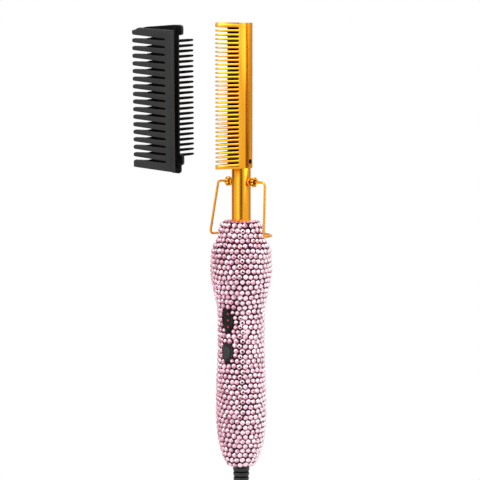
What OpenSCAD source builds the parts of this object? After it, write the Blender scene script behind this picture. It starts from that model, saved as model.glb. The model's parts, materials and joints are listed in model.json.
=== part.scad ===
// Electric hot comb: a heated toothed blade on a neck tube with a hinged wire stand, a two-shell
// handle covered in crystals, a swivelling cord, and a clip-on comb cover lying beside the blade.
// Millimetres. +Z runs up the handle to the blade's tip, the blade's teeth and the button face -X,
// and the origin is at the middle of the hand grip, on the handle's axis.

/* [Blade] */
// Lower edge of the blade above the grip's middle
blade_z = 115.5; // [113:0.5:118]
// Length of the blade along the handle's axis
blade_len = 93.5; // [92:0.5:110]
// Radius of the round spine
spine_r = 6.8; // [6.6:0.1:8]
// How far the spine's centre lies behind the neck's axis
spine_back = 0.9; // [0:0.1:1.5]
// Thickness of the flat part between the spine and the teeth
web_t = 9.4; // [9:0.1:9.8]
// Thickness of the blade's flat part at its spine
spine_web_t = 10.7; // [10.2:0.1:11]
// Distance from the neck's axis to the roots of the slots
root_x = 8.3; // [7:0.1:9]
// Distance from the neck's axis to the tips of the teeth
tip_x = 25; // [21:0.5:30]
// Thickness of the teeth at their tips
tip_t = 2.4; // [1.6:0.1:3.5]
// Number of slots between the teeth
slots = 33; // [20:1:33]
// Distance from one slot to the next
slot_pitch = 2.69; // [2.4:0.01:2.7]
// Width of a slot at its root
slot_root_w = 1.2; // [0.8:0.05:1.4]
// Width of a slot where the teeth end
slot_tip_w = 1.5; // [1.2:0.05:1.6]
// Height of the lower end tooth
end_tooth = 3; // [2.5:0.1:4]
// Radius of the bore that holds the heater
heater_bore_r = 4; // [3:0.1:4.4]
// Distance from the heater's end to the blade's tip
heater_stop = 15; // [13:0.5:30]

/* [Neck and stand] */
// Outer radius of the neck tube
neck_r = 6.25; // [5.5:0.05:6.5]
// Wall of the neck tube
neck_wall = 1; // [0.8:0.1:1.4]
// Outer radius of the tube's spigot in the blade
spigot_r = 4.7; // [4.2:0.1:5]
// Depth of the spigot in the blade
spigot_len = 12; // [9:0.5:14]
// Height of the stand's pivot below the blade
pivot_drop = 8.9; // [6.5:0.1:12]
// Radius of a stud's stem
stud_r = 1.8; // [1.5:0.1:2.2]
// Radius of a stud's flared head
stud_head_r = 3.3; // [2.8:0.1:3.6]
// Distance from the neck's axis to a stud's outer face
stud_end = 11.8; // [10.5:0.1:13]
// Diameter of the stand's wire
wire_d = 1.6; // [1.2:0.1:2]
// Half the stand's width at its pivot
stand_top_w = 19.5; // [17:0.5:21]
// Half the stand's width at its foot
stand_foot_w = 22; // [21:0.5:24]
// How far the foot's arc reaches behind the neck's axis
stand_reach = 16.6; // [16.6:0.2:22]
// Length of the stand's arms below the pivot
stand_drop = 34.6; // [34:0.2:37]
// How far the arms lean towards the teeth
stand_lean = 4.5; // [3:0.1:5]

/* [Handle] */
// Height of the shells' upper rim
rim_z = 80.2; // [78:0.2:82]
// Depth of the shells' lower end below the grip's middle
end_z = 79.4; // [77:0.2:81]
// Radius of the shells at the upper rim
rim_r = 11.5; // [10.5:0.1:12]
// Radius of the collar under the rim
collar_r = 13.7; // [12.8:0.1:14]
// Height of the collar's foot
collar_z = 72.5; // [71:0.5:74]
// Radius of the shoulder under the collar
shoulder_r = 18.2; // [16:0.1:18.4]
// Height of the shoulder
shoulder_z = 60.5; // [58:0.5:62]
// Radius of the belly
belly_r = 18.7; // [17:0.1:20]
// Height of the belly
belly_z = 50; // [46:0.5:52]
// Radius of the waist
waist_r = 13.9; // [13.5:0.1:15]
// Height where the waist starts to widen into the belly
waist_z = 18; // [15:0.5:22]
// Radius of the swell under the palm
palm_r = 15.1; // [14.5:0.1:16.5]
// Depth of the palm swell below the grip's middle
palm_z = 40; // [36:0.5:44]
// Wall of the shells
shell_t = 2.4; // [1.8:0.1:2.6]
// Size of a crystal, and the pitch of the crystal rows
crystal_d = 3.3; // [2.8:0.1:4]
// How far the crystals stand out of the shells
crystal_h = 1.4; // [0.8:0.1:1.6]

/* [Controls] */
// Height of the middle of the indicator window
window_z = 17.5; // [16:0.5:20]
// Half the window's width
window_w = 4.4; // [4:0.1:5.2]
// Half the window's height
window_h = 8.2; // [7:0.1:8.6]
// Distance between the indicator lights
light_pitch = 4.2; // [3.4:0.1:4.4]
// Height of the middle of the power button
button_z = -3.4; // [-6:0.2:-3]
// Half the button's width
button_w = 2.95; // [2.6:0.05:3.6]
// Half the button's height
button_h = 4.4; // [4:0.1:5]
// Travel of the button
button_travel = 0.7; // [0.4:0.1:0.9]
// Width of the circuit board
board_w = 15; // [12:0.5:15]

/* [Cord] */
// Diameter of the power cord
cord_d = 5; // [4:0.1:5.4]
// Radius of the strain relief at the handle
relief_r = 5.5; // [5:0.1:5.8]
// Length of the strain relief
relief_len = 32; // [26:1:34]
// Radius of the swivel's shaft
swivel_r = 4.2; // [3.6:0.1:4.4]

/* [Comb cover] */
// Length of the cover at its mouth
cover_len = 92.6; // [91:0.2:98]
// Depth of the cover from its mouth to the tips of its wide teeth
cover_w = 30.2; // [28:0.2:34]
// Wall of the cover
cover_t = 1.6; // [1.3:0.1:1.8]
// Clear width of the channel that takes the blade
channel_w = 10.2; // [10:0.1:11]
// Depth of the channel
channel_depth = 20.8; // [20.4:0.2:22]
// Width of the solid band between the mouth and the wide slots
band_w = 5.2; // [4:0.1:7]
// Number of wide slots
wide_slots = 17; // [12:1:17]
// Distance from one wide slot to the next
wide_pitch = 5; // [4.5:0.02:5.04]
// Number of fine teeth on the rear wall
fine_teeth = 23; // [15:1:23]
// Distance from one fine tooth to the next
fine_pitch = 3.41; // [3:0.01:3.42]
// Length of the fine teeth
fine_len = 11.2; // [9:0.2:13]

/* [Hidden] */

$fn = 48;
gold = "gold";
black = "#2c2c2e";
pink = "#f4c6d6";

// Clearances: pieces that are fixed together, a shaft that turns, and a piece that slides
fit = 0.05;
running = 0.08;
sliding = 0.3;

wire_r = wire_d / 2;
pivot_z = blade_z - pivot_drop;
slot_z0 = blade_z + end_tooth + slot_root_w / 2;
spigot_top = blade_z + spigot_len;
heater_z = spigot_top + 1;
heater_top = blade_z + blade_len - heater_stop;
sensor_len = 4;
neck_bore_r = spigot_r - neck_wall;

// ---- Outlines and sweeps ----

function smooth(a, b, t) = a + (b - a) * (1 - cos(180 * t)) / 2;
function part_way(z, low, high) = (z - low) / (high - low);

// The power of the rounded tail's superellipse, and its reach below the shells' lower end
tail_power = 2.4;
tail_reach = 2.9;
function tail_r(t) = palm_r * pow(1 - pow(t, tail_power), 1 / tail_power);
function grip_r(z) =
    z < -palm_z ? tail_r((-palm_z - z) / (end_z + tail_reach - palm_z))
    : z < waist_flat_z ? smooth(palm_r, waist_r, part_way(z, -palm_z, waist_flat_z))
    : z < waist_z ? waist_r
    : z < belly_z ? smooth(waist_r, belly_r, part_way(z, waist_z, belly_z))
    : z < shoulder_z ? smooth(belly_r, shoulder_r, part_way(z, belly_z, shoulder_z))
    : z < collar_z ? smooth(shoulder_r, collar_r, part_way(z, shoulder_z, collar_z))
    : collar_r - (collar_r - rim_r) * pow(part_way(z, collar_z, rim_z), 2);

// The waist is straight from here up to waist_z
waist_flat_z = 5;

// The shells' outline has one straight step for each row of crystals
rows = round((rim_z + end_z) / crystal_d);
row_h = (rim_z + end_z) / rows;
function row_z(i) = -end_z + i * row_h;
function row_point(i) = [grip_r(row_z(i)), row_z(i)];
function lean(i) =
    let (d = row_point(min(i + 1, rows)) - row_point(max(i - 1, 0)))
    [d[1], -d[0]] / norm(d);
function skin_point(i, out) = row_point(i) + out * lean(i);

function arc(r, from, to, steps) =
    [for (k = [0:steps]) let (a = from + (to - from) * k / steps) r * [cos(a), sin(a)]];
function moved(points, by) = [for (p = points) p + by];
function turned_back(points) = [for (k = [len(points) - 1:-1:0]) points[k]];
function oval(w, h, steps = 40) =
    [for (k = [0:steps - 1]) let (a = 360 * k / steps) [w * cos(a), h * sin(a)]];

// A pointed leaf of two arcs
function leaf(w, h) =
    let (r = (w * w + h * h) / (2 * w), half = atan(h / (r - w)))
    concat(
        moved(arc(r, -half, half, 12), [w - r, 0]),
        moved(arc(r, 180 - half, 180 + half, 12), [r - w, 0])
    );
function tilted(points, angle) = [
    for (p = points) [p[0] * cos(angle) + p[1] * sin(angle), p[1] * cos(angle) - p[0] * sin(angle)]
];
function window_leaf(w, h) = tilted(leaf(w, h), window_tilt);

// One side of a slot between two teeth, from its root to past the tips
function slot_side(depth, root_w, tip_w, nose, steps) = concat(
    [for (k = [0:steps]) let (a = 90 * k / steps) root_w / 2 * [1 - cos(a), sin(a)]],
    [for (k = [0:steps]) let (a = 90 * k / steps)
        [depth - nose + nose * sin(a), tip_w / 2 + nose * (1 - cos(a))]],
    [[depth + 1, tip_w / 2 + nose]]
);
function slot_outline(depth, root_w, tip_w, nose, steps) =
    let (side = slot_side(depth, root_w, tip_w, nose, steps))
    concat(side, [for (p = turned_back(side)) [p[0], -p[1]]]);

// A round tube of one radius along a list of points
sweep_reference = [1, 1, 1];
function unit(v) = v / norm(v);
function heading(path, i) = unit(path[min(i + 1, len(path) - 1)] - path[max(i - 1, 0)]);
function ring(path, i, r, sides) =
    let (t = heading(path, i), across = unit(cross(sweep_reference, t)), up = cross(t, across))
    [for (k = [0:sides - 1]) path[i] + r * (cos(360 * k / sides) * across + sin(360 * k / sides) * up)];

module sweep(path, r, sides) {
    last = len(path) - 1;
    points = [for (i = [0:last]) each ring(path, i, r, sides)];
    walls = [for (i = [0:last - 1], k = [0:sides - 1])
        let (a = i * sides + k, b = i * sides + (k + 1) % sides)
        each [[a, a + sides, b + sides], [a, b + sides, b]]];
    start = [for (k = [0:sides - 1]) k];
    end = [for (k = [sides - 1:-1:0]) last * sides + k];
    polyhedron(points, concat([start], walls, [end]));
}

// Turns a child drawn in the XY plane so that its Y points up and its thickness runs to +X
module facing_x() { rotate([90, 0, 90]) children(); }

// A prism through the handle's button side, from the outline of an opening
module front_prism(outline, z, depth_x = 40, from_x = -40) {
    translate([from_x, 0, z]) facing_x() linear_extrude(depth_x) polygon(outline);
}

// A ring that follows the shells' outline over some rows, between two heights above it
module skin(first, last, low, high) {
    rotate_extrude() polygon(concat(
        [for (i = [first:last]) skin_point(i, high)],
        [for (i = [last:-1:first]) skin_point(i, low)]
    ));
}

// ---- Heated head ----

blade_round = 2.6;
tip_round = 1.4;
spine_face_x = -0.8;

module blade_section() {
    intersection() {
        translate([spine_back, 0]) circle(spine_r);
        translate([spine_face_x, -spine_r]) square(2 * spine_r);
    }
    polygon([
        [spine_back, spine_web_t / 2], [spine_face_x, spine_web_t / 2], [-root_x, web_t / 2],
        [-tip_x, tip_t / 2], [-tip_x, -tip_t / 2], [-root_x, -web_t / 2],
        [spine_face_x, -spine_web_t / 2], [spine_back, -spine_web_t / 2]
    ]);
}

module blade_silhouette() {
    back = spine_back + spine_r;
    polygon(concat(
        [[-tip_x, blade_z], [back, blade_z]],
        moved(arc(blade_round, 0, 90, 6), [back - blade_round, blade_z + blade_len - blade_round]),
        moved(arc(tip_round, 90, 180, 4), [tip_round - tip_x, blade_z + blade_len - tip_round])
    ));
}

module upright(width) { rotate([90, 0, 0]) linear_extrude(width, center = true) children(); }

set_screw_r = 1.6;
set_screw_x = 1;
set_screw_up = 4.3;
set_screw_z = blade_z + set_screw_up;

module comb_blade() {
    color(gold) difference() {
        intersection() {
            translate([0, 0, blade_z]) linear_extrude(blade_len) blade_section();
            upright(4 * spine_r) blade_silhouette();
        }
        upright(2 * spine_r) {
            for (k = [0:slots - 1]) {
                translate([-root_x, slot_z0 + k * slot_pitch]) mirror([1, 0])
                    polygon(slot_outline(tip_x - root_x, slot_root_w, slot_tip_w, 0.5, 2));
            }
        }
        translate([0, 0, blade_z - 1]) cylinder(r = spigot_r + fit, h = spigot_len + 1);
        translate([0, 0, blade_z])
            cylinder(r = heater_bore_r + fit, h = heater_top + sensor_len + 1 - blade_z);
        translate([set_screw_x, 0, set_screw_z]) rotate([90, 0, 0])
            cylinder(r = set_screw_r + fit, h = 2 * spine_r);
    }
}

screw_sunk = 0.6;

module blade_set_screw() {
    color(black) translate([set_screw_x, -spigot_r - fit, set_screw_z]) rotate([90, 0, 0]) difference() {
        cylinder(r = set_screw_r, h = spine_r - spigot_r - screw_sunk);
        translate([0, 0, spine_r - spigot_r - screw_sunk - 1]) cylinder(r = 1, h = 2, $fn = 6);
    }
}

module heater_core() {
    color("white") translate([0, 0, heater_z]) cylinder(r = heater_bore_r, h = heater_top - heater_z);
}

module temperature_sensor() {
    color("tan") translate([0, 0, heater_top]) cylinder(r = 1.5, h = sensor_len);
}

// ---- Neck and stand ----

bush_z = rim_z - 21;
cap_t = 4;

module neck_tube() {
    color(gold) difference() {
        rotate_extrude() polygon([
            [neck_bore_r, bush_z], [neck_r, bush_z], [neck_r, blade_z],
            [spigot_r, blade_z], [spigot_r, spigot_top], [neck_bore_r, spigot_top]
        ]);
        translate([0, 0, pivot_z]) rotate([90, 0, 0])
            cylinder(r = stud_r + fit, h = 4 * neck_r, center = true);
    }
}

// A stud riveted in the neck's wall, with a flared head that the wire's end turns in
stud_stem = 8.6;
wire_depth = 3.4;

module pivot_stud(side) {
    bore_r = wire_r + running;
    color(gold) translate([0, 0, pivot_z]) rotate([-90 * side, 0, 0]) rotate_extrude() polygon([
        [0, neck_bore_r], [stud_r, neck_bore_r], [stud_r, stud_stem],
        [stud_head_r, stud_end - 0.9], [stud_head_r, stud_end - 0.3], [stud_head_r - 0.5, stud_end],
        [bore_r + 0.9, stud_end - 0.8], [bore_r, stud_end - 0.8],
        [bore_r, stud_end - wire_depth - running], [0, stud_end - wire_depth - running]
    ]);
}

module pivot_stud_left() { pivot_stud(1); }
module pivot_stud_right() { pivot_stud(-1); }

// Radius of the wire's bends
wire_bend = 2.4;
foot_z = pivot_z - stand_drop;

function top_bend(side) = [for (k = [0:5]) let (a = 90 * k / 5)
    [0, side * (stand_top_w - wire_bend * (1 - sin(a))), pivot_z - wire_bend * (1 - cos(a))]];
function foot_bend(side) = [for (k = [0:5]) let (a = 90 * k / 5)
    [-stand_lean + wire_bend * (1 - cos(a)), side * stand_foot_w, foot_z + wire_bend * (1 - sin(a))]];
foot_x = wire_bend - stand_lean;
foot_arc = [for (k = [1:23]) let (a = 90 - 180 * k / 24)
    [foot_x + (stand_reach - foot_x) * cos(a), stand_foot_w * sin(a), foot_z]];

module stand_wire() {
    path = concat(
        top_bend(1), foot_bend(1), foot_arc,
        turned_back(foot_bend(-1)), turned_back(top_bend(-1))
    );
    color(gold) union() {
        sweep(path, wire_r, 12);
        for (side = [-1, 1]) {
            translate([0, side * (stand_top_w - wire_bend), pivot_z]) rotate([90 * side, 0, 0])
                cylinder(r = wire_r, h = stand_top_w - wire_bend - stud_end + wire_depth);
        }
    }
}

// ---- Handle ----

neck_hole_r = neck_r + fit;
socket_r = 6.2;
tail_floor = 3.6;

module shell_half() {
    wall_rows = [for (i = [0:rows]) if (row_z(i) > tail_floor - end_z && row_z(i) < rim_z - cap_t) i];
    rotate_extrude(angle = 180) polygon(concat(
        [for (i = [0:rows]) row_point(i)],
        [[neck_hole_r, rim_z], [neck_hole_r, rim_z - cap_t]],
        [[grip_r(rim_z - cap_t) - shell_t, rim_z - cap_t]],
        [for (i = turned_back(wall_rows)) skin_point(i, -shell_t)],
        [[grip_r(tail_floor - end_z) - shell_t, tail_floor - end_z],
            [socket_r + fit, tail_floor - end_z], [socket_r + fit, -end_z]]
    ));
}

screw_heights = [40, -48];
boss_r = 3.2;
screw_r = 1.5;
screw_head_r = 2.6;
board_x = 5.5;
board_t = 1.4;
board_low = -30;
board_high = 32;
post_inset = 4;

// A round post from the shell's wall inward to a plane at distance from_x from the axis
module wall_post(r, y, z, from_x) {
    reach = sqrt(pow(grip_r(z) - shell_t / 2, 2) - y * y);
    translate([from_x, y, z]) rotate([0, 90, 0]) cylinder(r = r, h = reach - from_x);
}

module handle_shell_front() {
    color(pink) difference() {
        rotate([0, 0, 180]) union() {
            rotate([0, 0, -90]) shell_half();
            for (z = screw_heights) wall_post(boss_r, 0, z, 0);
            for (z = [board_low + post_inset, board_high - post_inset], y = [-1, 1]) {
                wall_post(1.4, y * (board_w / 2 - 2.2), z, board_x + board_t);
            }
        }
        for (z = screw_heights) {
            translate([-grip_r(z) / 2, 0, z]) rotate([0, 90, 0]) cylinder(r = screw_r + fit, h = grip_r(z));
        }
        front_prism(oval(bezel_w + fit, bezel_h + fit), button_z, 40 - board_x);
        front_prism(window_leaf(window_w - window_lip, window_h - 2 * window_lip), window_z, 40 - board_x);
    }
}

module handle_shell_back() {
    color(pink) difference() {
        union() {
            rotate([0, 0, -90]) shell_half();
            for (z = screw_heights) wall_post(boss_r, 0, z, 0);
        }
        for (z = screw_heights) {
            translate([-1, 0, z]) rotate([0, 90, 0])
                cylinder(r = screw_r + fit, h = 2 * grip_r(z));
            translate([grip_r(z) / 2, 0, z]) rotate([0, 90, 0])
                cylinder(r = screw_head_r + fit, h = grip_r(z));
        }
    }
}

module shell_screws() {
    color("silver") for (z = screw_heights) {
        translate([-grip_r(z) / 2, 0, z]) rotate([0, 90, 0]) {
            cylinder(r = screw_r, h = grip_r(z));
            translate([0, 0, grip_r(z)]) cylinder(r = screw_head_r, h = 2);
        }
    }
}

// Each row of crystals rises from a groove to a flat crest
groove_h = 0.4;
crest = [0.25, 0.75];
function between(a, b, t) = a + (b - a) * t;
function crystal_row(i) = concat(
    [skin_point(i, groove_h)],
    [for (t = crest) between(skin_point(i, crystal_h), skin_point(i + 1, crystal_h), t)]
);

module crystal_half() {
    rotate_extrude(angle = 180) polygon(concat(
        [row_point(0)],
        [for (i = [0:rows - 1]) each crystal_row(i)],
        [skin_point(rows, groove_h)],
        [for (i = [rows:-1:1]) row_point(i)]
    ));
}

gap_columns = 12;
gap_w = 0.7;
gap_floor = 0.35;
gap_rows = 3;

// Upright gaps that part the rows into crystals over half the handle, down to a thin backing
module crystal_gaps() {
    intersection() {
        for (k = [0:gap_columns - 1]) {
            rotate([0, 0, 180 * (k + 0.5) / gap_columns]) translate([0, -gap_w / 2, -end_z])
                cube([2 * belly_r, gap_w, rim_z + end_z]);
        }
        rotate_extrude() polygon(concat(
            [for (i = [0:gap_rows:rows - 1]) skin_point(i, gap_floor)],
            [skin_point(rows, gap_floor), [2 * belly_r, rim_z], [2 * belly_r, -end_z]]
        ));
    }
}

module crystal_side() {
    difference() {
        crystal_half();
        crystal_gaps();
    }
}

module crystal_front() {
    color(pink) difference() {
        rotate([0, 0, 90]) crystal_side();
        front_prism(oval(bezel_w + bezel_lip + fit, bezel_h + bezel_lip + fit), button_z);
        front_prism(window_leaf(window_w + fit, window_h + fit), window_z);
    }
}

module crystal_back() {
    color(pink) rotate([0, 0, -90]) crystal_side();
}

// Two rings of crystals on the shells' upper face, round the neck
rim_rings = 2;

module crystal_rim() {
    width = (rim_r - neck_hole_r - fit) / rim_rings;
    color(pink) rotate_extrude() polygon(concat(
        [[neck_hole_r + fit, rim_z]],
        [for (k = [0:rim_rings - 1], p = [[0, groove_h], [crest[0], crystal_h], [crest[1], crystal_h]])
            [neck_hole_r + fit + (k + p[0]) * width, rim_z + p[1]]],
        [[rim_r, rim_z + groove_h], [rim_r, rim_z]]
    ));
}

bush_flange = 5;

module tube_bush() {
    flange_r = grip_r(rim_z - cap_t) - shell_t - fit;
    color("white") rotate_extrude() polygon([
        [neck_bore_r, bush_z - 2], [neck_r + 2, bush_z - 2], [neck_r + 2, rim_z - cap_t - bush_flange],
        [flange_r, rim_z - cap_t - bush_flange], [flange_r, rim_z - cap_t], [neck_r + fit, rim_z - cap_t],
        [neck_r + fit, bush_z], [neck_bore_r, bush_z]
    ]);
}

// ---- Controls ----

window_lip = 0.7;
window_tilt = 8;
window_h_out = 1;
bezel_wall = 0.6;
bezel_lip = 0.5;
bezel_w = button_w + sliding + bezel_wall;
bezel_h = button_h + sliding + bezel_wall;
bezel_inner_x = waist_r - 1.7;
flange_t = 0.8;
flange_x = bezel_inner_x - sliding;
switch_x = 8.5;
plunger = 0.7;
light_r = 0.7;
light_y = -0.9;

// The rows that the controls lie on
low_row = floor((button_z - bezel_h + end_z) / row_h) - 1;
high_row = ceil((window_z + window_h + end_z) / row_h) + 1;

module circuit_board() {
    color("darkgreen") translate([-board_x - board_t, -board_w / 2, board_low])
        cube([board_t, board_w, board_high - board_low]);
}

module button_switch() {
    front = switch_x - board_x - board_t;
    color(black) union() {
        translate([-switch_x, -3, button_z - 3]) cube([front, 6, 6]);
        translate([-switch_x - plunger, 0, button_z]) rotate([0, 90, 0]) cylinder(r = 1.4, h = plunger);
    }
}

module power_button() {
    stem_x = switch_x + plunger + button_travel + sliding;
    color(black) union() {
        intersection() {
            front_prism(oval(button_w, button_h), button_z, 40 - flange_x);
            skin(low_row, high_row, -4, crystal_h + 0.2);
        }
        front_prism(oval(button_w + 0.6, button_h + 0.6), button_z, flange_t, -flange_x);
        translate([-flange_x, 0, button_z]) rotate([0, 90, 0]) cylinder(r = 1.6, h = flange_x - stem_x);
    }
}

module button_bezel() {
    color(black) difference() {
        intersection() {
            union() {
                front_prism(oval(bezel_w, bezel_h), button_z, 40 - bezel_inner_x);
                intersection() {
                    front_prism(oval(bezel_w + bezel_lip, bezel_h + bezel_lip), button_z);
                    skin(low_row, high_row, 0, 2 * crystal_h);
                }
            }
            skin(low_row, high_row, -4, window_h_out);
        }
        front_prism(oval(button_w + sliding, button_h + sliding), button_z);
    }
}

module light_pins(r, top) {
    for (k = [-1:1]) {
        translate([-top, light_y, window_z + k * light_pitch]) rotate([0, 90, 0])
            cylinder(r = r, h = top - board_x - board_t);
    }
}

module indicator_window() {
    color(black) difference() {
        union() {
            intersection() {
                front_prism(window_leaf(window_w, window_h), window_z);
                skin(low_row, high_row, 0, window_h_out);
            }
            intersection() {
                front_prism(
                    window_leaf(window_w - window_lip - fit, window_h - 2 * window_lip - fit), window_z
                );
                skin(low_row, high_row, -shell_t, window_h_out);
            }
        }
        light_pins(light_r + fit, 30);
    }
}

module indicator_lights() {
    color("red") intersection() {
        light_pins(light_r, 30);
        skin(low_row, high_row, -waist_r + board_x + board_t, window_h_out + 0.1);
    }
}

// ---- Wires inside the handle ----

lead_r = 0.6;
heater_lead = [[-5, 5, 33], [-4, 5, 44], [-1, 3.5, 54], [0, 2, 60], [0, 1.8, 80], [0, 1.8, heater_z - 2]];
supply_lead = [[-5, 4, -31], [-4, 4.6, -40], [-2, 4.6, -50], [0, 2.4, -60], [0, 1.5, -66]];
function other_side(path) = [for (p = path) [p[0], -p[1], p[2]]];

module leads(path) {
    sweep(path, lead_r, 8);
    sweep(other_side(path), lead_r, 8);
}

module heater_leads() { color("white") leads(heater_lead); }
module supply_leads() { color("brown") leads(supply_lead); }

// ---- Cord, from the swivel down ----

socket_body_r = 7.2;
socket_low = -end_z - 1.2;
socket_step = tail_floor - end_z;
socket_top = socket_step + 12;
ledge_z = socket_step + 3;
swivel_flange_r = swivel_r + 1.4;
swivel_flange_t = 2;
relief_top = socket_low - sliding;
relief_end = relief_top - relief_len;

module swivel_socket() {
    bore_r = swivel_r + running;
    color(black) rotate_extrude() polygon([
        [bore_r, socket_low], [socket_r - 0.4, socket_low], [socket_r, socket_low + 0.4],
        [socket_r, socket_step], [socket_body_r, socket_step], [socket_body_r, socket_top],
        [swivel_flange_r + sliding, socket_top], [swivel_flange_r + sliding, ledge_z], [bore_r, ledge_z]
    ]);
}

module cord_swivel() {
    color(black) translate([0, 0, relief_top]) {
        cylinder(r = swivel_r, h = ledge_z + running - relief_top);
        translate([0, 0, ledge_z + running - relief_top]) cylinder(r = swivel_flange_r, h = swivel_flange_t);
    }
}

relief_ribs = 7;
rib_pitch = 3.3;
rib_groove = 1.3;
rib_start = 2.2;

module strain_relief() {
    tip_r = cord_d / 2 + 1.1;
    slope = (relief_r - tip_r) / relief_len;
    color(black) rotate_extrude() polygon(concat(
        [[0, relief_top], [relief_r, relief_top]],
        [for (k = [0:relief_ribs - 1], p = [[0, 0], [0.2, 0.9], [rib_groove - 0.2, 0.9], [rib_groove, 0]])
            let (down = rib_start + k * rib_pitch + p[0])
            [relief_r - slope * down - p[1], relief_top - down]],
        [[tip_r, relief_end], [0, relief_end]]
    ));
}

// The hank's lobes and its tied waist, seen along X
lobe_r = 18;
hank_waist = 8;
hank_half = 70;
hank_t = 34;
hank_top = -146;
hank_mid = hank_top - hank_half;
lobe_open = 125;

// The cord runs out of the relief into the hank, and its far end out of the hank into the plug
cord_route = [
    [0, 0, -104], [0, 0, -111], [0, 0, -118], [-1, 0.5, -124], [-2.5, 1.5, -130],
    [-5, 3.5, -136], [-8, 6, -142], [-10.5, 9, -148], [-12.5, 11.5, -154], [-13.5, 13.5, -160]
];
end_route = [
    [13, 14, -272], [11, 12, -279], [8.5, 8.5, -286], [5.5, 5.5, -293], [2.5, 2.5, -300],
    [0.5, 0.5, -307], [0, 0, -314], [0, 0, -320]
];

module power_cord() { color(black) sweep(cord_route, cord_d / 2, 8); }
module cord_end() { color(black) sweep(end_route, cord_d / 2, 8); }

module cord_hank() {
    lobe = moved(arc(lobe_r, 90 - lobe_open, 90 + lobe_open, 20), [0, hank_half - lobe_r]);
    lower_lobe = [for (p = turned_back(lobe)) [p[0], -p[1]]];
    outline = concat(lobe, [[-hank_waist, 0]], lower_lobe, [[hank_waist, 0]]);
    color(black) translate([-hank_t / 2, 0, hank_mid]) facing_x() linear_extrude(hank_t) polygon(outline);
}

tie_h = 6;
tie_t = 1.2;

module hank_tie() {
    color(black) translate([0, 0, hank_mid]) difference() {
        cube([hank_t + 2 * tie_t, 2 * (hank_waist + 2.4 + tie_t), tie_h], center = true);
        cube([hank_t + 0.1, 2 * (hank_waist + 2.4), tie_h + 1], center = true);
    }
}

plug_w = 24;
plug_t = 15;
plug_neck = 14;
plug_len = 33;
blade_len_out = 16;
plug_top = -316;
blade_gap = 12.7;

module plug_body() {
    color(black) translate([0, 0, plug_top]) {
        translate([0, 0, -plug_neck]) cylinder(r1 = 5.5, r2 = 4, h = plug_neck);
        translate([-plug_t / 2, -plug_w / 2, -plug_len]) cube([plug_t, plug_w, plug_len - plug_neck]);
    }
}

module plug_blades() {
    color("silver") for (side = [-1, 1]) {
        translate([-3.2, side * blade_gap / 2 - 0.75, plug_top - plug_len - blade_len_out])
            cube([6.4, 1.5, blade_len_out]);
    }
}

// ---- Comb cover: x runs from its outer face to its fine teeth, y from its mouth to its tips ----

cover_drop = 4;
cover_place = [-34.9, 28.8, blade_z + blade_len / 2 - cover_drop];
cover_turn = 9;
cover_lean = 9.5;
lean_side = 51.4;
end_slant = 0.5;
mouth_step = 1.4;
mouth_step_t = 0.35;
wide_root_w = 1.3;
wide_tip_w = 2.4;
wide_tip_t = 2;
rear_x = cover_t + channel_w;
rear_mouth = 2.4;
rear_bend = 7;
floor_t = 1.2;
floor_x = cover_t + 3;
floor_y = channel_depth + floor_t;
fine_slant = 35;
fine_r = 1;
clip_h = 7.4;
jaw_in = 1.2;
jaw_round = 2;
foot_h = 2.8;

// The cover stands beside the blade, turned and leaning
module cover_frame() {
    translate(cover_place) rotate([0, 0, -lean_side]) rotate([cover_lean, 0, 0])
        rotate([0, 0, lean_side + cover_turn]) children();
}

// The wide slots go through the comb plate and the rear wall alike
module wide_cuts(depth) {
    facing_x() linear_extrude(depth) {
        for (k = [0:wide_slots - 1]) {
            translate([band_w, (k - (wide_slots - 1) / 2) * wide_pitch])
                polygon(slot_outline(cover_w - band_w, wide_root_w, wide_tip_w, 1.1, 4));
        }
    }
}

module wide_plate() {
    half = cover_len / 2;
    difference() {
        facing_x() linear_extrude(floor_x) polygon([
            [0, -half], [cover_w, end_slant - half], [cover_w, half - end_slant], [0, half]
        ]);
        wide_cuts(floor_x);
    }
}

// The wide teeth are as thick as the channel's floor at their roots and taper to their tips
module cover_wide_comb() {
    color(black) cover_frame() intersection() {
        wide_plate();
        translate([0, 0, -cover_len]) linear_extrude(2 * cover_len) polygon([
            [mouth_step_t, 0], [mouth_step_t, mouth_step], [0, mouth_step + mouth_step_t],
            [0, cover_w - 3], [0.4, cover_w + 1], [wide_tip_t, cover_w + 1],
            [floor_x, floor_y], [cover_t, floor_y], [cover_t, 0]
        ]);
    }
}

module fine_tooth() {
    rotate([0, 90, -fine_slant]) rotate_extrude($fn = 24) polygon([
        [0, 0], [fine_r, 0], [fine_r, 2], [0.85 * fine_r, fine_len * 2 / 3],
        [0.5 * fine_r, fine_len - 0.3], [0, fine_len]
    ]);
}

module rear_wall() {
    translate([0, 0, end_slant / 2 - cover_len / 2]) linear_extrude(cover_len - end_slant) polygon([
        [rear_x, rear_mouth], [rear_x + cover_t, rear_mouth], [rear_x + cover_t, rear_bend],
        [floor_x, floor_y], [cover_t, floor_y],
        [cover_t, channel_depth], [floor_x - cover_t + 0.2, channel_depth], [rear_x, rear_bend]
    ]);
}

module cover_fine_comb() {
    color(black) cover_frame() union() {
        difference() {
            rear_wall();
            wide_cuts(rear_x + 2 * cover_t);
        }
        for (k = [0:fine_teeth - 1]) {
            translate([rear_x + cover_t / 2, rear_mouth + fine_r, (k - (fine_teeth - 1) / 2) * fine_pitch])
                fine_tooth();
        }
    }
}

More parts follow.
